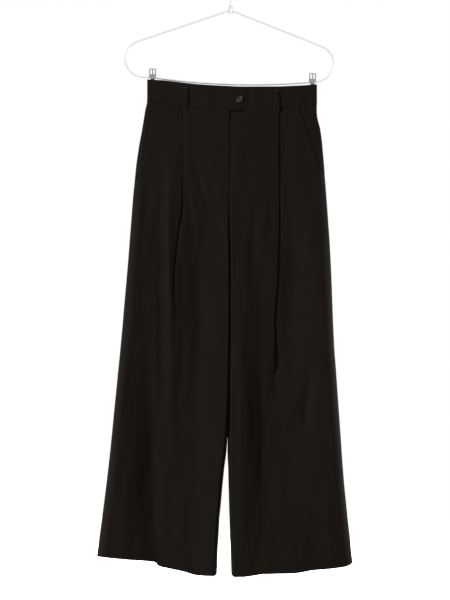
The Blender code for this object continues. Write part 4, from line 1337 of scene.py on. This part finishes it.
@dataclass
class Hanger:
    """A wire hanger with a collar and two stamped clips, in its own frame, which leans about the hook."""

    finishes: Finishes
    lean: float = math.radians(1.4)
    wire_radius: float = 0.0018
    hook_radius: float = 0.020
    hook_tip: float = math.radians(205)
    hook_neck: float = math.radians(-48)
    stem_top: float = -0.056
    neck_top: float = -0.068
    neck_height: float = 0.016
    neck_radius: float = 0.0050
    shoulder_below: float = 0.0088
    slope: float = math.radians(18.6)
    half_width: float = 0.2187
    bar_level: float = -0.2217
    bar_sag: float = 0.0105
    bar_sag_middle: float = 0.014
    bar_half_span: float = 0.176
    bend_radius: float = 0.0385
    jaw_half_gap: float = 0.0017
    around_bar: float = 0.0021
    clip_plate: float = 0.0010
    clip_corner: float = 0.0016
    window_across: tuple[float, float] = (0.0013, 0.0049)
    window_up: tuple[float, float] = (0.0065, 0.0172)
    rib_height: float = 0.00035
    rib_above_bar: float = 0.0040
    rib_width: float = 0.0012
    rim_bevel: float = 0.00025
    collar_edge: float = 0.0014
    sides: int = 20
    clip_places: dict[Side, float] = field(default_factory=lambda: {Side.RIGHT: -0.1603, Side.LEFT: 0.1756})

    def __post_init__(self) -> None:
        """Set the lever's section: up from the bar, out from the wire's plane, and part of full width."""
        self.lever = Table(
            "up out wide",
            (-0.0130, self.jaw_half_gap, 0.62),
            (-0.0050, self.jaw_half_gap, 0.62),
            (-0.0024, self.around_bar, 0.66),
            (0.0025, self.around_bar, 1.00),
            (0.0065, self.around_bar + 0.0016, 1.00),
            (0.0155, self.around_bar + 0.0048, 1.00),
            (0.0185, self.around_bar + 0.0056, 0.94),
        )

    def in_place(self, points: Array) -> Array:
        """Points of the hanger's frame in the part's, turned about the hook by the lean."""
        x = points[..., 0] * math.cos(self.lean) + points[..., 2] * math.sin(self.lean)
        z = points[..., 2] * math.cos(self.lean) - points[..., 0] * math.sin(self.lean)
        return np.stack((x, points[..., 1], z), axis=-1)

    def bar_height(self, x: Array | float) -> Array:
        """The bar bows down between the clips on a parabola."""
        part = (x - self.bar_sag_middle) / self.bar_half_span
        return self.bar_level - self.bar_sag * np.clip(1 - part**2, 0, 1)

    def under_bar(self, x: Array) -> Array:
        """Height of the bar's lower side over a place in the part's frame."""
        in_hanger = (x - self.bar_level * math.sin(self.lean)) / math.cos(self.lean)
        middle = self.bar_height(in_hanger) * math.cos(self.lean) - in_hanger * math.sin(self.lean)
        return middle - self.wire_radius

    def arc(self, centre: tuple[float, float], radius: float, start: float, end: float, count: int) -> Array:
        """Points of an arc in the hanger's plane, evenly round it."""
        angle = np.linspace(start, end, count)
        x = centre[0] + radius * np.cos(angle)
        return np.stack((x, np.zeros(count), centre[1] + radius * np.sin(angle)), axis=1)

    def hook_path(self) -> Array:
        """From the tip over the top, then on a cubic that leaves and arrives straight, down to the neck."""
        path = self.hook_radius + self.wire_radius
        bow = self.arc((0.0, -self.hook_radius), path, self.hook_tip, self.hook_neck, 96)
        stem = np.array((0.0, 0.0, self.stem_top))
        way = np.array((math.sin(self.hook_neck), 0.0, -math.cos(self.hook_neck)))
        part = np.linspace(0, 1, 22)[1:, None]
        reach = np.linalg.norm(stem - bow[-1]) / 3
        first = bow[-1] + way * reach
        second = stem + np.array((0.0, 0.0, reach))
        ends = (1 - part) ** 3 * bow[-1] + part**3 * stem
        bridge = ends + 3 * part * (1 - part) ** 2 * first + 3 * part**2 * (1 - part) * second
        down = stem + np.outer(np.linspace(0.25, 1, 4), (0, 0, self.neck_top - self.stem_top + 0.0003))
        return np.concatenate((bow, bridge, down))

    def shoulder_path(self, side: Side) -> Array:
        """From the neck down a straight slope, and round the end on an arc to the bar."""
        start_x = self.neck_radius + 0.0003 + self.wire_radius * math.sin(self.slope)
        start_z = self.neck_top - self.shoulder_below - start_x * math.tan(self.slope)
        bend_x = self.half_width - self.bend_radius
        centre = (bend_x, float(self.bar_height(side.value * bend_x)) + self.bend_radius)
        bend = self.arc(centre, self.bend_radius, math.pi / 2 - self.slope, -math.pi / 2, 48)
        slope = np.linspace((start_x, 0.0, start_z), bend[0], 30)[:-1]
        path = np.concatenate((slope, bend))
        path[:, 0] *= side.value
        return path

    def wire(self, name: str, node: str, path: Array, round_start: bool = False) -> None:
        """Bend a wire along a path.

        Args:
            name: The piece's name.
            node: The node that it stands for.
            path: Its centreline, in the hanger's frame.
            round_start: Whether its first end is a rounded tip, on a quarter circle.
        """
        tip = self.wire_radius * turned(7) if round_start else np.empty(0)
        if round_start:
            along = np.concatenate(((0.0,), np.cumsum(np.linalg.norm(np.diff(path, axis=0), axis=1))))
            start = np.stack([np.interp(tip, along, path[:, axis]) for axis in range(3)], axis=1)
            path = np.concatenate((start, path[along > self.wire_radius * 1.2]))
        radius = np.full(len(path), self.wire_radius)
        radius[: len(tip)] = np.maximum(self.wire_radius * quarter_round(tip / self.wire_radius), 0.0002)
        points, faces = tube(self.in_place(path), radius, self.sides)
        dress(mesh_object(name, points, faces), self.finishes.wire, node)
        log.info("%s: %d points", name, len(points))

    def collar(self) -> None:
        """The neck collar: a turned sleeve with rounded edges, its profile carried round the stem."""
        edge = self.collar_edge * turned(6)
        reach = self.neck_radius
        low = self.neck_top - self.neck_height
        rounded = self.collar_edge * rolled(edge, self.collar_edge)
        radius = np.concatenate(((0.0,), reach - rounded, (reach - 0.0005,), reach - rounded[::-1], (0.0,)))
        middle = low + self.neck_height / 2
        height = np.concatenate(
            ((low,), low + edge, (middle,), self.neck_top - edge[::-1], (self.neck_top,))
        )
        angle = circle(2 * self.sides)
        x = radius[:, None] * np.cos(angle)
        y = radius[:, None] * np.sin(angle)
        points = self.in_place(np.stack((x, y, np.broadcast_to(height[:, None], x.shape)), axis=-1))
        item = mesh_object("hanger_collar", points, grid_faces(len(radius), len(angle), closed=True))
        close_poles(item)
        dress(item, self.finishes.wire, "hanger_neck")

    def clip_lever(self, side: Side, face: Face) -> None:
        """One stamped lever: a solid jaw below the bar, and three bars above it, with windows between.

        Args:
            side: Which clip.
            face: Which of its two levers.
        """
        near, far = self.window_across
        sill, head = self.window_up
        across = steps_between(-0.0073, -far, -near, near, far, 0.0073, counts=(3, 4, 3, 4, 3))
        up = steps_between(-0.0130, -0.0050, -0.0024, 0.0025, sill, head, 0.0185, counts=(5, 3, 4, 4, 9, 3))
        x = self.clip_places[side]
        middle = float(self.bar_height(x))
        corner = self.clip_corner * rolled(up[-1] - up, self.clip_corner)
        wide = (self.lever.at("wide", up, "up") - corner / across[-1])[:, None]
        out = self.lever.at("out", up, "up")[:, None] + self.clip_plate
        rib = self.rib_height * bell(up[:, None] - self.rib_above_bar, self.rib_width)
        points = np.zeros((len(up), len(across), 3))
        points[..., 0] = x + across * wide
        points[..., 1] = face.value * (out + rib)
        points[..., 2] = middle + up[:, None]
        faces = grid_faces(*points.shape[:2])
        if face is Face.BACK:
            points = points[:, ::-1]
        centre = points.reshape(-1, 3)[faces].mean(axis=1)
        above = centre[:, 2] - middle
        offset = np.abs(centre[:, 0] - x)
        kept = ~((above > sill) & (above < head) & (offset > near) & (offset < far))
        word = face.name.lower()
        used, corners = np.unique(faces[kept], return_inverse=True)
        points = points.reshape(-1, 3)[used]
        item = mesh_object(f"clip_{side.word}_{word}_lever", self.in_place(points), corners.reshape(-1, 4))
        plate = item.modifiers.new("Plate", "SOLIDIFY")
        plate.thickness = self.clip_plate
        plate.offset = -1
        rims = item.modifiers.new("Rims", "BEVEL")
        rims.width = self.rim_bevel
        rims.segments = 2
        rims.limit_method = "ANGLE"
        rims.angle_limit = math.radians(60)
        dress(item, self.finishes.stamped, f"clip_{side.word}_{word}")

    def build(self) -> None:
        """Bend the wires, turn the collar and stamp the clips."""
        self.wire("hook_wire", "hanger_hook", self.hook_path(), round_start=True)
        self.collar()
        for side in Side:
            self.wire(f"shoulder_wire_{side.word}", f"hanger_shoulder_{side.word}", self.shoulder_path(side))
            for face in Face:
                self.clip_lever(side, face)
        reach = self.half_width - self.bend_radius - 0.0005
        x = np.linspace(-reach, reach, 90)
        self.wire("bar_wire", "hanger_bar", np.stack((x, 0 * x, self.bar_height(x)), axis=1))
        log.info("hanger: wires, collar and %d clip levers", 2 * len(Side))


# ---------------------------------------------------------------------- waistband, loops and closing


@dataclass
class Waistband:
    """The two front pieces, which lap right over left at the tab, and the back piece."""

    form: GarmentForm
    hanger: Hanger
    finishes: Finishes
    level: float = -0.240
    tab_clear: float = 0.010
    tab_step: float = 0.001
    tab_corner: float = 0.0034
    underlap_end: float = -0.014
    underlap_depth: float = 0.0017
    tab_slope: float = 0.0007
    tab_drop_run: float = 0.0008
    tab_roll: float = 0.0006
    tab_roll_run: float = 0.0016
    edge_roll: float = 0.0008
    edge_roll_run: float = 0.0018
    edge_swell: float = 0.00025
    edge_swell_away: float = 0.006
    edge_swell_width: float = 0.004
    relief_fade: float = 0.006
    seam_gap: float = 0.0001
    bar_clear: float = 0.0006

    def points(
        self, x: Array, face: Face, inwards: Array | float = 0.0, corner: Array | float = 0.0
    ) -> Array:
        """Outer face of a piece: rows from the waist seam to the top edge, whose edges roll in.

        Args:
            x: Place of each column.
            face: Front or back.
            inwards: How far below the plain surface each column is.
            corner: How far each column's ends are drawn in by a rounded corner.

        Returns:
            The grid, in the garment's frame.
        """
        form = self.form
        bottom = form.waist.at("seam", x, "x") + self.seam_gap + corner
        if face is Face.BACK:
            under = self.hanger.under_bar(x + form.place[0]) - self.bar_clear
            top = np.minimum(form.waist.at("back_top", x, "x"), under)
        else:
            top = form.waist.at("top", x, "x") - corner
        part = steps_between(0, 0.008, 0.020, 0.050, 0.950, 0.980, 0.992, 1, counts=(1, 1, 2, 22, 2, 1, 1))
        height = bottom + (top - bottom) * part[:, None]
        place = np.broadcast_to(x, height.shape)
        depth = form.plain_off(place, height)
        slack = form.fine_waves(place * 1.3 + 0.4 * face.value, height * 2.0)
        from_edge = np.minimum(height - bottom, top - height)
        roll = self.edge_roll * rolled(from_edge, self.edge_roll_run)
        swell = self.edge_swell * bell(from_edge - self.edge_swell_away, self.edge_swell_width)
        flat = np.clip(depth / self.relief_fade, 0, 1)
        depth = depth - inwards + (0.8 * slack + swell - roll) * flat
        return np.stack((place, face.value * np.maximum(depth, 0.00005), height), axis=-1)

    def columns(self, end: float, towards: float, even: int) -> Array:
        """Places from a side seam: closer where the band turns round the side, then evenly."""
        way = np.sign(towards - end)
        near = end + way * 0.0048 * turned(9)
        return np.concatenate((near, np.linspace(near[-1], towards, even)[1:]))

    def sew(self, node: str, points: Array, face: Face) -> None:
        """Make one piece of the band."""
        placed = self.form.in_place(points)
        item = cloth_object(f"{node}_cloth", placed, face, self.form.band_cloth, 0)
        dress(item, self.finishes.suiting, node)

    def right_piece(self, end: float) -> Array:
        """The wearer's right piece, from its side seam to the tab's rounded end."""
        tab = self.form.tab_end
        corner = self.tab_corner
        plain = self.columns(end, tab - corner, 90)[:-1]
        x = np.concatenate((plain, tab - corner * turned(8)[::-1]))
        roll = self.tab_roll * rolled(tab - x, self.tab_roll_run)
        return self.points(x, Face.FRONT, inwards=roll, corner=corner * rolled(tab - x, corner))

    def left_piece(self, end: float) -> Array:
        """The wearer's left piece, which slopes in beside the tab, drops under it and runs on to its end."""
        tab = self.form.tab_end
        clear = tab + self.tab_clear
        step = tab + self.tab_step
        goes_under = np.linspace(clear, step, 12)[1:]
        drops = np.linspace(step, tab + 0.0001, 7)[1:]
        under_tab = np.linspace(drops[-1], self.underlap_end, 20)[1:]
        x = np.concatenate((self.columns(end, clear, 56), goes_under, drops, under_tab))
        slope = ease((clear - x) / (self.tab_clear - self.tab_step))
        drop = ease((step - x) / self.tab_drop_run)
        sunk = self.tab_slope * slope + (self.underlap_depth - self.tab_slope) * drop
        return self.points(x, Face.FRONT, inwards=sunk)

    def build(self) -> None:
        """Make the three pieces."""
        right_end = float(self.form.side_x(Side.RIGHT, self.level))
        left_end = float(self.form.side_x(Side.LEFT, self.level))
        middle = (left_end + right_end) / 2
        from_left = self.columns(left_end, middle, 70)[::-1]
        back = np.concatenate((self.columns(right_end, middle, 70), from_left[1:]))
        self.sew("waistband_right", self.right_piece(right_end), Face.FRONT)
        self.sew("waistband_left", self.left_piece(left_end), Face.FRONT)
        self.sew("waistband_back", self.points(back, Face.BACK), Face.BACK)


@dataclass
class BeltLoops:
    """Narrow folded strips that arch off the waistband, bar-tacked at their tops."""

    form: GarmentForm
    finishes: Finishes
    width: float = 0.0128
    arch: float = 0.0013
    fullness: float = 0.6
    below_top: float = 0.0062
    past_seam: float = 0.0062
    seam_gap: float = 0.0003
    edge_roll: float = 0.0006
    edge_roll_run: float = 0.0012
    groove_depth: float = 0.00022
    groove_away: float = 0.0020
    groove_width: float = 0.0005
    names: tuple[str, ...] = ("right", "left", "back")
    places: Table = Table(
        "x face lean",
        (-0.0945, -1, 0.0),
        (0.0970, -1, math.radians(-3)),
        (0.0065, 1, 0.0),
    )

    def points(self, loop: dict[str, float]) -> Array:
        """Outer face of a loop: a power of a sine arches it, and its edges roll in beside sewn grooves."""
        x = loop["x"]
        top = float(self.form.waist.at("top", x, "x")) - self.below_top
        bottom = float(self.form.waist.at("seam", x, "x")) - self.past_seam
        end = turned(7) * 0.06
        part = np.concatenate((end, np.linspace(0.085, 0.915, 24), 1 - end[::-1]))[:, None]
        edge = turned(6) * 0.10
        offset = (np.concatenate((edge, np.linspace(0.14, 0.86, 15), 1 - edge[::-1])) - 0.5) * self.width
        height = bottom + (top - bottom) * part + 0 * offset
        across = x + offset + (height - (top + bottom) / 2) * math.tan(loop["lean"])
        arch = self.arch * np.sin(np.pi * part) ** self.fullness
        from_edge = self.width / 2 - np.abs(offset)
        from_end = np.minimum(part, 1 - part) * (top - bottom)
        run = self.edge_roll_run
        roll = self.edge_roll * (rolled(from_edge, run) + rolled(from_end, run))
        groove = self.groove_depth * bell(from_edge - self.groove_away, self.groove_width)
        on_cloth = self.form.plain_off(across, height) + self.seam_gap + self.form.loop_cloth
        return np.stack((across, loop["face"] * (on_cloth + arch - roll - groove), height), axis=-1)

    def build(self) -> dict[str, Array]:
        """Make the loops.

        Returns:
            Their points by name, in the part's frame.
        """
        made = {}
        for name, loop in zip(self.names, self.places.each()):
            placed = self.form.in_place(self.points(loop))
            made[name] = placed
            face = Face(int(loop["face"]))
            item = cloth_object(f"belt_loop_{name}_cloth", placed, face, self.form.loop_cloth, 0)
            dress(item, self.finishes.suiting, f"belt_loop_{name}")
        return made


@dataclass
class Closing:
    """The concealed zip, the button with its thread, and the buttonhole that it goes through."""

    form: GarmentForm
    finishes: Finishes
    zip_half_width: float = 0.014
    zip_middle: float = -0.350
    zip_top_below: float = 0.003
    zip_end: float = -0.448
    zip_inwards: float = 0.0033
    zip_pitch: float = 0.0016
    zip_slack: float = 1.01
    teeth_from_end: float = 0.006
    tooth_half_size: tuple[float, float, float] = (0.0018, 0.0007, 0.00065)
    tooth_taper: float = 0.8
    tooth_shift: float = 0.0008
    tooth_inwards: float = 0.0006
    button_place: tuple[float, float] = (0.0200, -0.2640)
    button_radius: float = 0.0074
    button_height: float = 0.0030
    button_standoff: float = 0.0006
    hole_radius: float = 0.0009
    hole_spread: float = 0.0016
    well_depth: float = 0.0016
    well_wall: float = 0.00024
    strand_radius: float = 0.00024
    strand_half_gap: float = 0.00022
    shank_radius: float = 0.0016
    buttonhole_ends: tuple[float, float] = (0.0030, 0.0245)
    buttonhole_half: float = 0.0013
    buttonhole_off: float = 0.0001
    buttonhole_thread: float = 0.00020
    buttonhole_points: int = 260

    def zip_points(self) -> Array:
        """Outer face of the closed zip's tape, a flat strip that follows the fronts from inside."""
        middle = float(self.form.outline.at("middle", self.zip_middle))
        top = self.form.seam_middle - self.zip_top_below
        across = middle + np.linspace(-self.zip_half_width, self.zip_half_width, 15)
        x, height = np.meshgrid(across, np.linspace(self.zip_end, top, 60))
        return np.stack((x, self.zip_inwards - self.form.plain_off(x, height), height), axis=-1)

    def make_zip(self) -> None:
        """The tape, and on its inner face a closed chain of small teeth in two rows that interlock."""
        points = self.zip_points()
        tape = cloth_object("fly_zip_tape", self.form.in_place(points), Face.FRONT, self.form.cloth, 7)
        dress(tape, self.finishes.tape, "fly_zip")
        length = float(points[-1, 0, 2] - points[0, 0, 2])
        count = int((length - 2 * self.teeth_from_end) / self.zip_pitch)
        along = points[0, 0, 2] + self.teeth_from_end + np.arange(count) * self.zip_pitch
        middle = float(points[0, 7, 0])
        x = middle + np.where(np.arange(count) % 2, self.tooth_shift, -self.tooth_shift)
        y = self.zip_inwards - self.form.plain_off(x, along) + self.form.cloth + self.tooth_inwards
        centres = self.form.in_place(np.stack((x, y, along), axis=-1))
        corner = np.array([(a, b, c) for c in (-1, 1) for b in (-1, 1) for a in (-1, 1)], float)
        block = corner * np.array(self.tooth_half_size)
        block[corner[:, 1] > 0, 0] *= self.tooth_taper
        quads = np.array(((0, 2, 3, 1), (4, 5, 7, 6), (0, 1, 5, 4), (1, 3, 7, 5), (3, 2, 6, 7), (2, 0, 4, 6)))
        faces = (quads[None] + 8 * np.arange(count)[:, None, None]).reshape(-1, 4)
        teeth = mesh_object("zip_teeth", centres[:, None] + block, faces)
        # The teeth have no cloth places, so the painted highlight band of the button's finish stays off them
        dress(teeth, self.finishes.horn)
        log.info("zip: tape and %d teeth", count)

    def make_button(self) -> None:
        """A turned button: its profile carried round the axis, with four rounded wells sunk for the holes."""
        profile = Table(
            "part radius height",
            (0.0, 0.00, 0.62),
            (1.0, 0.55, 0.64),
            (1.6, 0.70, 0.90),
            (2.1, 0.82, 1.00),
            (2.6, 0.95, 0.86),
            (3.0, 1.00, 0.60),
            (3.5, 0.96, 0.28),
            (4.0, 0.78, 0.00),
            (5.0, 0.00, 0.00),
        )
        part = steps_between(0, 1, 4, 5, counts=(44, 36, 3))
        radius = np.where(part <= 1, part * 0.55, profile.at("radius", part, "part")) * self.button_radius
        height = profile.at("height", part, "part") * self.button_height
        angle = circle(112)
        across = radius[:, None] * np.cos(angle)
        up = radius[:, None] * np.sin(angle)
        wells = np.radians(45 + 90 * np.arange(4))
        spread = self.hole_spread
        from_x = across[..., None] - spread * np.cos(wells)
        from_z = up[..., None] - spread * np.sin(wells)
        away = np.hypot(from_x, from_z).min(axis=-1)
        inside = self.hole_radius + self.well_wall / 2 - away
        sunk = self.well_depth * ease(inside / self.well_wall) * (part <= 1)[:, None]
        x, z = self.button_place
        front = float(self.form.plain_off(x, z)) + self.button_standoff
        points = np.stack((x + across, -(front + height[:, None] - sunk), z + up), axis=-1)
        faces = grid_faces(len(part), len(angle), closed=True)
        # Places on the disc turned by 45 degrees, so that the finish's painted highlight band runs from lower
        # left to upper right
        along = np.stack((across + up, up - across), axis=-1) / (self.button_radius * math.sqrt(2))
        button = mesh_object("button_horn", self.form.in_place(points), faces, 0.5 + 0.5 * along)
        close_poles(button)
        dress(button, self.finishes.horn, "button")
        self.sew_on(x, z, front)

    def sew_on(self, x: float, z: float, front: float) -> None:
        """Thread the button on: two strands through each pair of holes, and a shank behind.

        Args:
            x: The button's middle, across.
            z: Its height.
            front: How far its back stands from the mid-plane.
        """
        spread = self.hole_spread
        parts = []
        for sign in (-1, 1):
            for strand in (-self.strand_half_gap, self.strand_half_gap):
                turn = np.linspace(0, np.pi, 16)
                along = np.cos(turn) * spread * math.sqrt(0.5)
                lift = 0.62 * self.button_height + 0.0003 * np.sin(turn) - 0.0013 * (1 - np.sin(turn)) ** 6
                level = z + sign * spread * math.sqrt(0.5) + strand
                path = np.stack((x + along, -(front + lift), level + 0 * along), axis=-1)
                parts.append(tube(self.form.in_place(path), self.strand_radius, 8))
        shank = np.linspace((x, 0.0002 - front, z), (x, self.button_standoff - front, z), 4)
        parts.append(tube(self.form.in_place(shank), self.shank_radius, 14))
        points, faces = joined(parts)
        dress(mesh_object("button_thread", points, faces), self.finishes.thread)
        log.info("button: sewn through four holes")

    def make_buttonhole(self) -> None:
        """A zigzag of thread round a slot whose end is hidden by the button: a long rounded ring."""
        start, end = self.buttonhole_ends
        height = self.button_place[1]
        half = self.buttonhole_half
        turn = np.linspace(0, 2 * np.pi, self.buttonhole_points)
        straight = np.clip(np.cos(turn) * 8, -1, 1) * ((end - start) / 2 - half)
        saw = np.where(np.arange(self.buttonhole_points) % 2, 1.0, 0.45)
        x = (start + end) / 2 + straight + half * saw * np.cos(turn)
        z = height + half * saw * np.sin(turn)
        path = np.stack((x, -(self.form.plain_off(x, z) + self.buttonhole_off), z), axis=-1)
        points, faces = tube(self.form.in_place(path), self.buttonhole_thread, 6)
        dress(mesh_object("buttonhole_thread", points, faces), self.finishes.thread)
        log.info("buttonhole: %d points", len(points))

    def build(self) -> None:
        """Make the zip, the button and the buttonhole."""
        self.make_zip()
        self.make_button()
        self.make_buttonhole()


@dataclass
class BarTacks:
    """Short dense zigzags that hold the belt loops' tops and the pockets' ends."""

    form: GarmentForm
    finishes: Finishes
    passes: int = 13
    wide: float = 0.0016
    thread_radius: float = 0.00022
    thread_rise: float = 0.00020
    loop_tack_below: float = 0.0020
    loop_tack_length: float = 0.0100
    pocket_tack: float = -0.4395
    pocket_tack_inwards: float = 0.0040
    pocket_tack_length: float = 0.0060
    pocket_tack_slant: float = 0.35

    def tack(self, grid: Array, x: float, height: float, length: float, slant: float) -> tuple[Array, Array]:
        """A saw across while the thread moves along, pressed down at each turn.

        Args:
            grid: The cloth that it lies on.
            x: Its middle, across.
            height: Its middle's height.
            length: Its length.
            slant: Its angle above the horizontal.

        Returns:
            Points and faces.
        """
        step = np.arange(4 * self.passes + 1)
        along = (step / step[-1] - 0.5) * length
        saw = 1 - np.abs(step % 8 - 4) / 2
        across = saw * self.wide / 2
        px = x + along * math.cos(slant) - across * math.sin(slant)
        pz = height + along * math.sin(slant) + across * math.cos(slant)
        flat = grid.reshape(-1, 3)
        away = (flat[:, 0, None] - px) ** 2 + (flat[:, 2, None] - pz) ** 2
        mid_plane = self.form.place[1]
        on_cloth = flat[np.argmin(away, axis=0), 1] - mid_plane
        lift = np.abs(on_cloth).max() + self.thread_rise * (1 - saw**2)
        py = mid_plane + np.sign(on_cloth.mean()) * lift
        return tube(np.stack((px, py, pz), axis=-1), self.thread_radius, 6)

    def build(self, panels: dict[str, Array], loops: dict[str, Array]) -> None:
        """Sew the tacks.

        Args:
            panels: The panels' points by name.
            loops: The loops' points by name.
        """
        parts = []
        for grid in loops.values():
            top = grid[-1, grid.shape[1] // 2]
            height = float(top[2]) - self.loop_tack_below
            parts.append(self.tack(grid, float(top[0]), height, self.loop_tack_length, 0.0))
        for side in Side:
            grid = panels[f"front_{side.word}"]
            edge = grid[:, 0]
            row = int(np.argmin(np.abs(edge[:, 2] - self.pocket_tack)))
            x = float(edge[row, 0]) - side.value * self.pocket_tack_inwards
            slant = side.value * self.pocket_tack_slant
            parts.append(self.tack(grid, x, self.pocket_tack, self.pocket_tack_length, slant))
        points, faces = joined(parts)
        dress(mesh_object("bar_tacks", points, faces), self.finishes.pale_thread)
        log.info("bar-tacks: %d", len(parts))


# ------------------------------------------------------------------------------------- the studio


@dataclass
class Studio:
    """A pale floor, white light all round and a camera square to the garment's front."""

    floor_height: float = -1.400
    floor_size: float = 14.0
    camera_place: tuple[float, float, float] = (-0.0135, -12.0, -0.6851)
    lens: float = 342.86
    sky_light: float = 0.22
    floor_glow: float = 1.0
    light_target: tuple[float, float, float] = (0.0, 0.0, -0.7)

    def floor(self) -> None:
        """A wide flat square, white and dull."""
        half = self.floor_size / 2
        z = self.floor_height
        points = np.array(((-half, -half, z), (half, -half, z), (half, half, z), (-half, half, z)))
        item = mesh_object("studio_floor", points, np.array(((0, 1, 2, 3),)))
        graph = NodeGraph("studio_white")
        graph.shade(Base_Color=(0.92, 0.92, 0.92, 1.0), Roughness=0.9, Specular_IOR_Level=0.1)
        graph.shade(Emission_Color=(1.0, 1.0, 1.0, 1.0), Emission_Strength=self.floor_glow)
        item.data.materials.append(graph.material)
        item.visible_diffuse = False
        item.visible_glossy = False
        item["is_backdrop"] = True

    def light(self, name: str, place: tuple, size: tuple, power: float, mirrored: bool) -> None:
        """A rectangular lamp.

        Args:
            name: Its name.
            place: Where it is.
            size: Its width and height.
            power: Its power in watts.
            mirrored: Whether it shows in gloss.
        """
        lamp = bpy.data.lights.new(name, "AREA")
        lamp.shape = "RECTANGLE"
        lamp.size, lamp.size_y = size
        lamp.energy = power
        item = bpy.data.objects.new(name, lamp)
        bpy.context.scene.collection.objects.link(item)
        item.visible_glossy = mirrored
        way = Vector(self.light_target) - Vector(place)
        item.location = place
        item.rotation_euler = way.to_track_quat("-Z", "Y").to_euler()

    def sky(self) -> bpy.types.World:
        """A white backdrop that lights the object less than it shows, as one hung far behind it does."""
        world = bpy.data.worlds.new("studio_sky")
        world.use_nodes = True
        tree = world.node_tree
        backdrop = tree.nodes["Background"]
        backdrop.inputs["Color"].default_value = (1, 1, 1, 1)
        ray = tree.nodes.new("ShaderNodeLightPath")
        strength = tree.nodes.new("ShaderNodeMapRange")
        strength.inputs["To Min"].default_value = 1.0
        strength.inputs["To Max"].default_value = self.sky_light
        tree.links.new(ray.outputs["Is Diffuse Ray"], strength.inputs["Value"])
        tree.links.new(strength.outputs[0], backdrop.inputs["Strength"])
        return world

    def build(self) -> None:
        """Set the floor, the sky, the lamps and the camera."""
        scene = bpy.context.scene
        scene.view_settings.view_transform = "Standard"
        self.floor()
        scene.world = self.sky()
        self.light("key", (-4.3, -3.2, 0.3), (1.4, 2.4), 520, False)
        self.light("fill", (2.8, -3.2, -1.1), (1.6, 2.4), 34, True)
        self.light("strip_right", (-2.6, 0.3, -0.7), (0.8, 2.8), 22, False)
        self.light("strip_left", (2.6, 0.25, -0.7), (0.8, 2.8), 200, False)
        self.light("behind", (1.2, 4.5, 0.2), (2.4, 2.4), 300, False)
        lens = bpy.data.cameras.new("camera")
        lens.lens = self.lens
        lens.sensor_width = 36
        lens.sensor_fit = "AUTO"
        camera = bpy.data.objects.new("camera", lens)
        camera.location = self.camera_place
        camera.rotation_euler = (math.radians(90), 0, 0)
        scene.collection.objects.link(camera)
        scene.camera = camera
        log.info("studio: floor, five lamps and the camera")


def plain(box: object) -> list[list[float]]:
    """A box's two corners as plain lists of numbers."""
    return [[float(value) for value in corner] for corner in box]


def main() -> None:
    """Build the trousers and their hanger, then light and frame them."""
    logging.basicConfig(level=logging.INFO, format="%(message)s")
    finishes = Finishes.made()
    form = GarmentForm()
    hanger = Hanger(finishes)
    hanger.build()
    panels = Panels(form, finishes).build()
    Waistband(form, hanger, finishes).build()
    loops = BeltLoops(form, finishes).build()
    Closing(form, finishes).build()
    BarTacks(form, finishes).build(panels, loops)
    Studio().build()
    json.dumps({"cad": plain(cad_box), "visual": plain(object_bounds())})


if __name__ == "__main__":
    main()
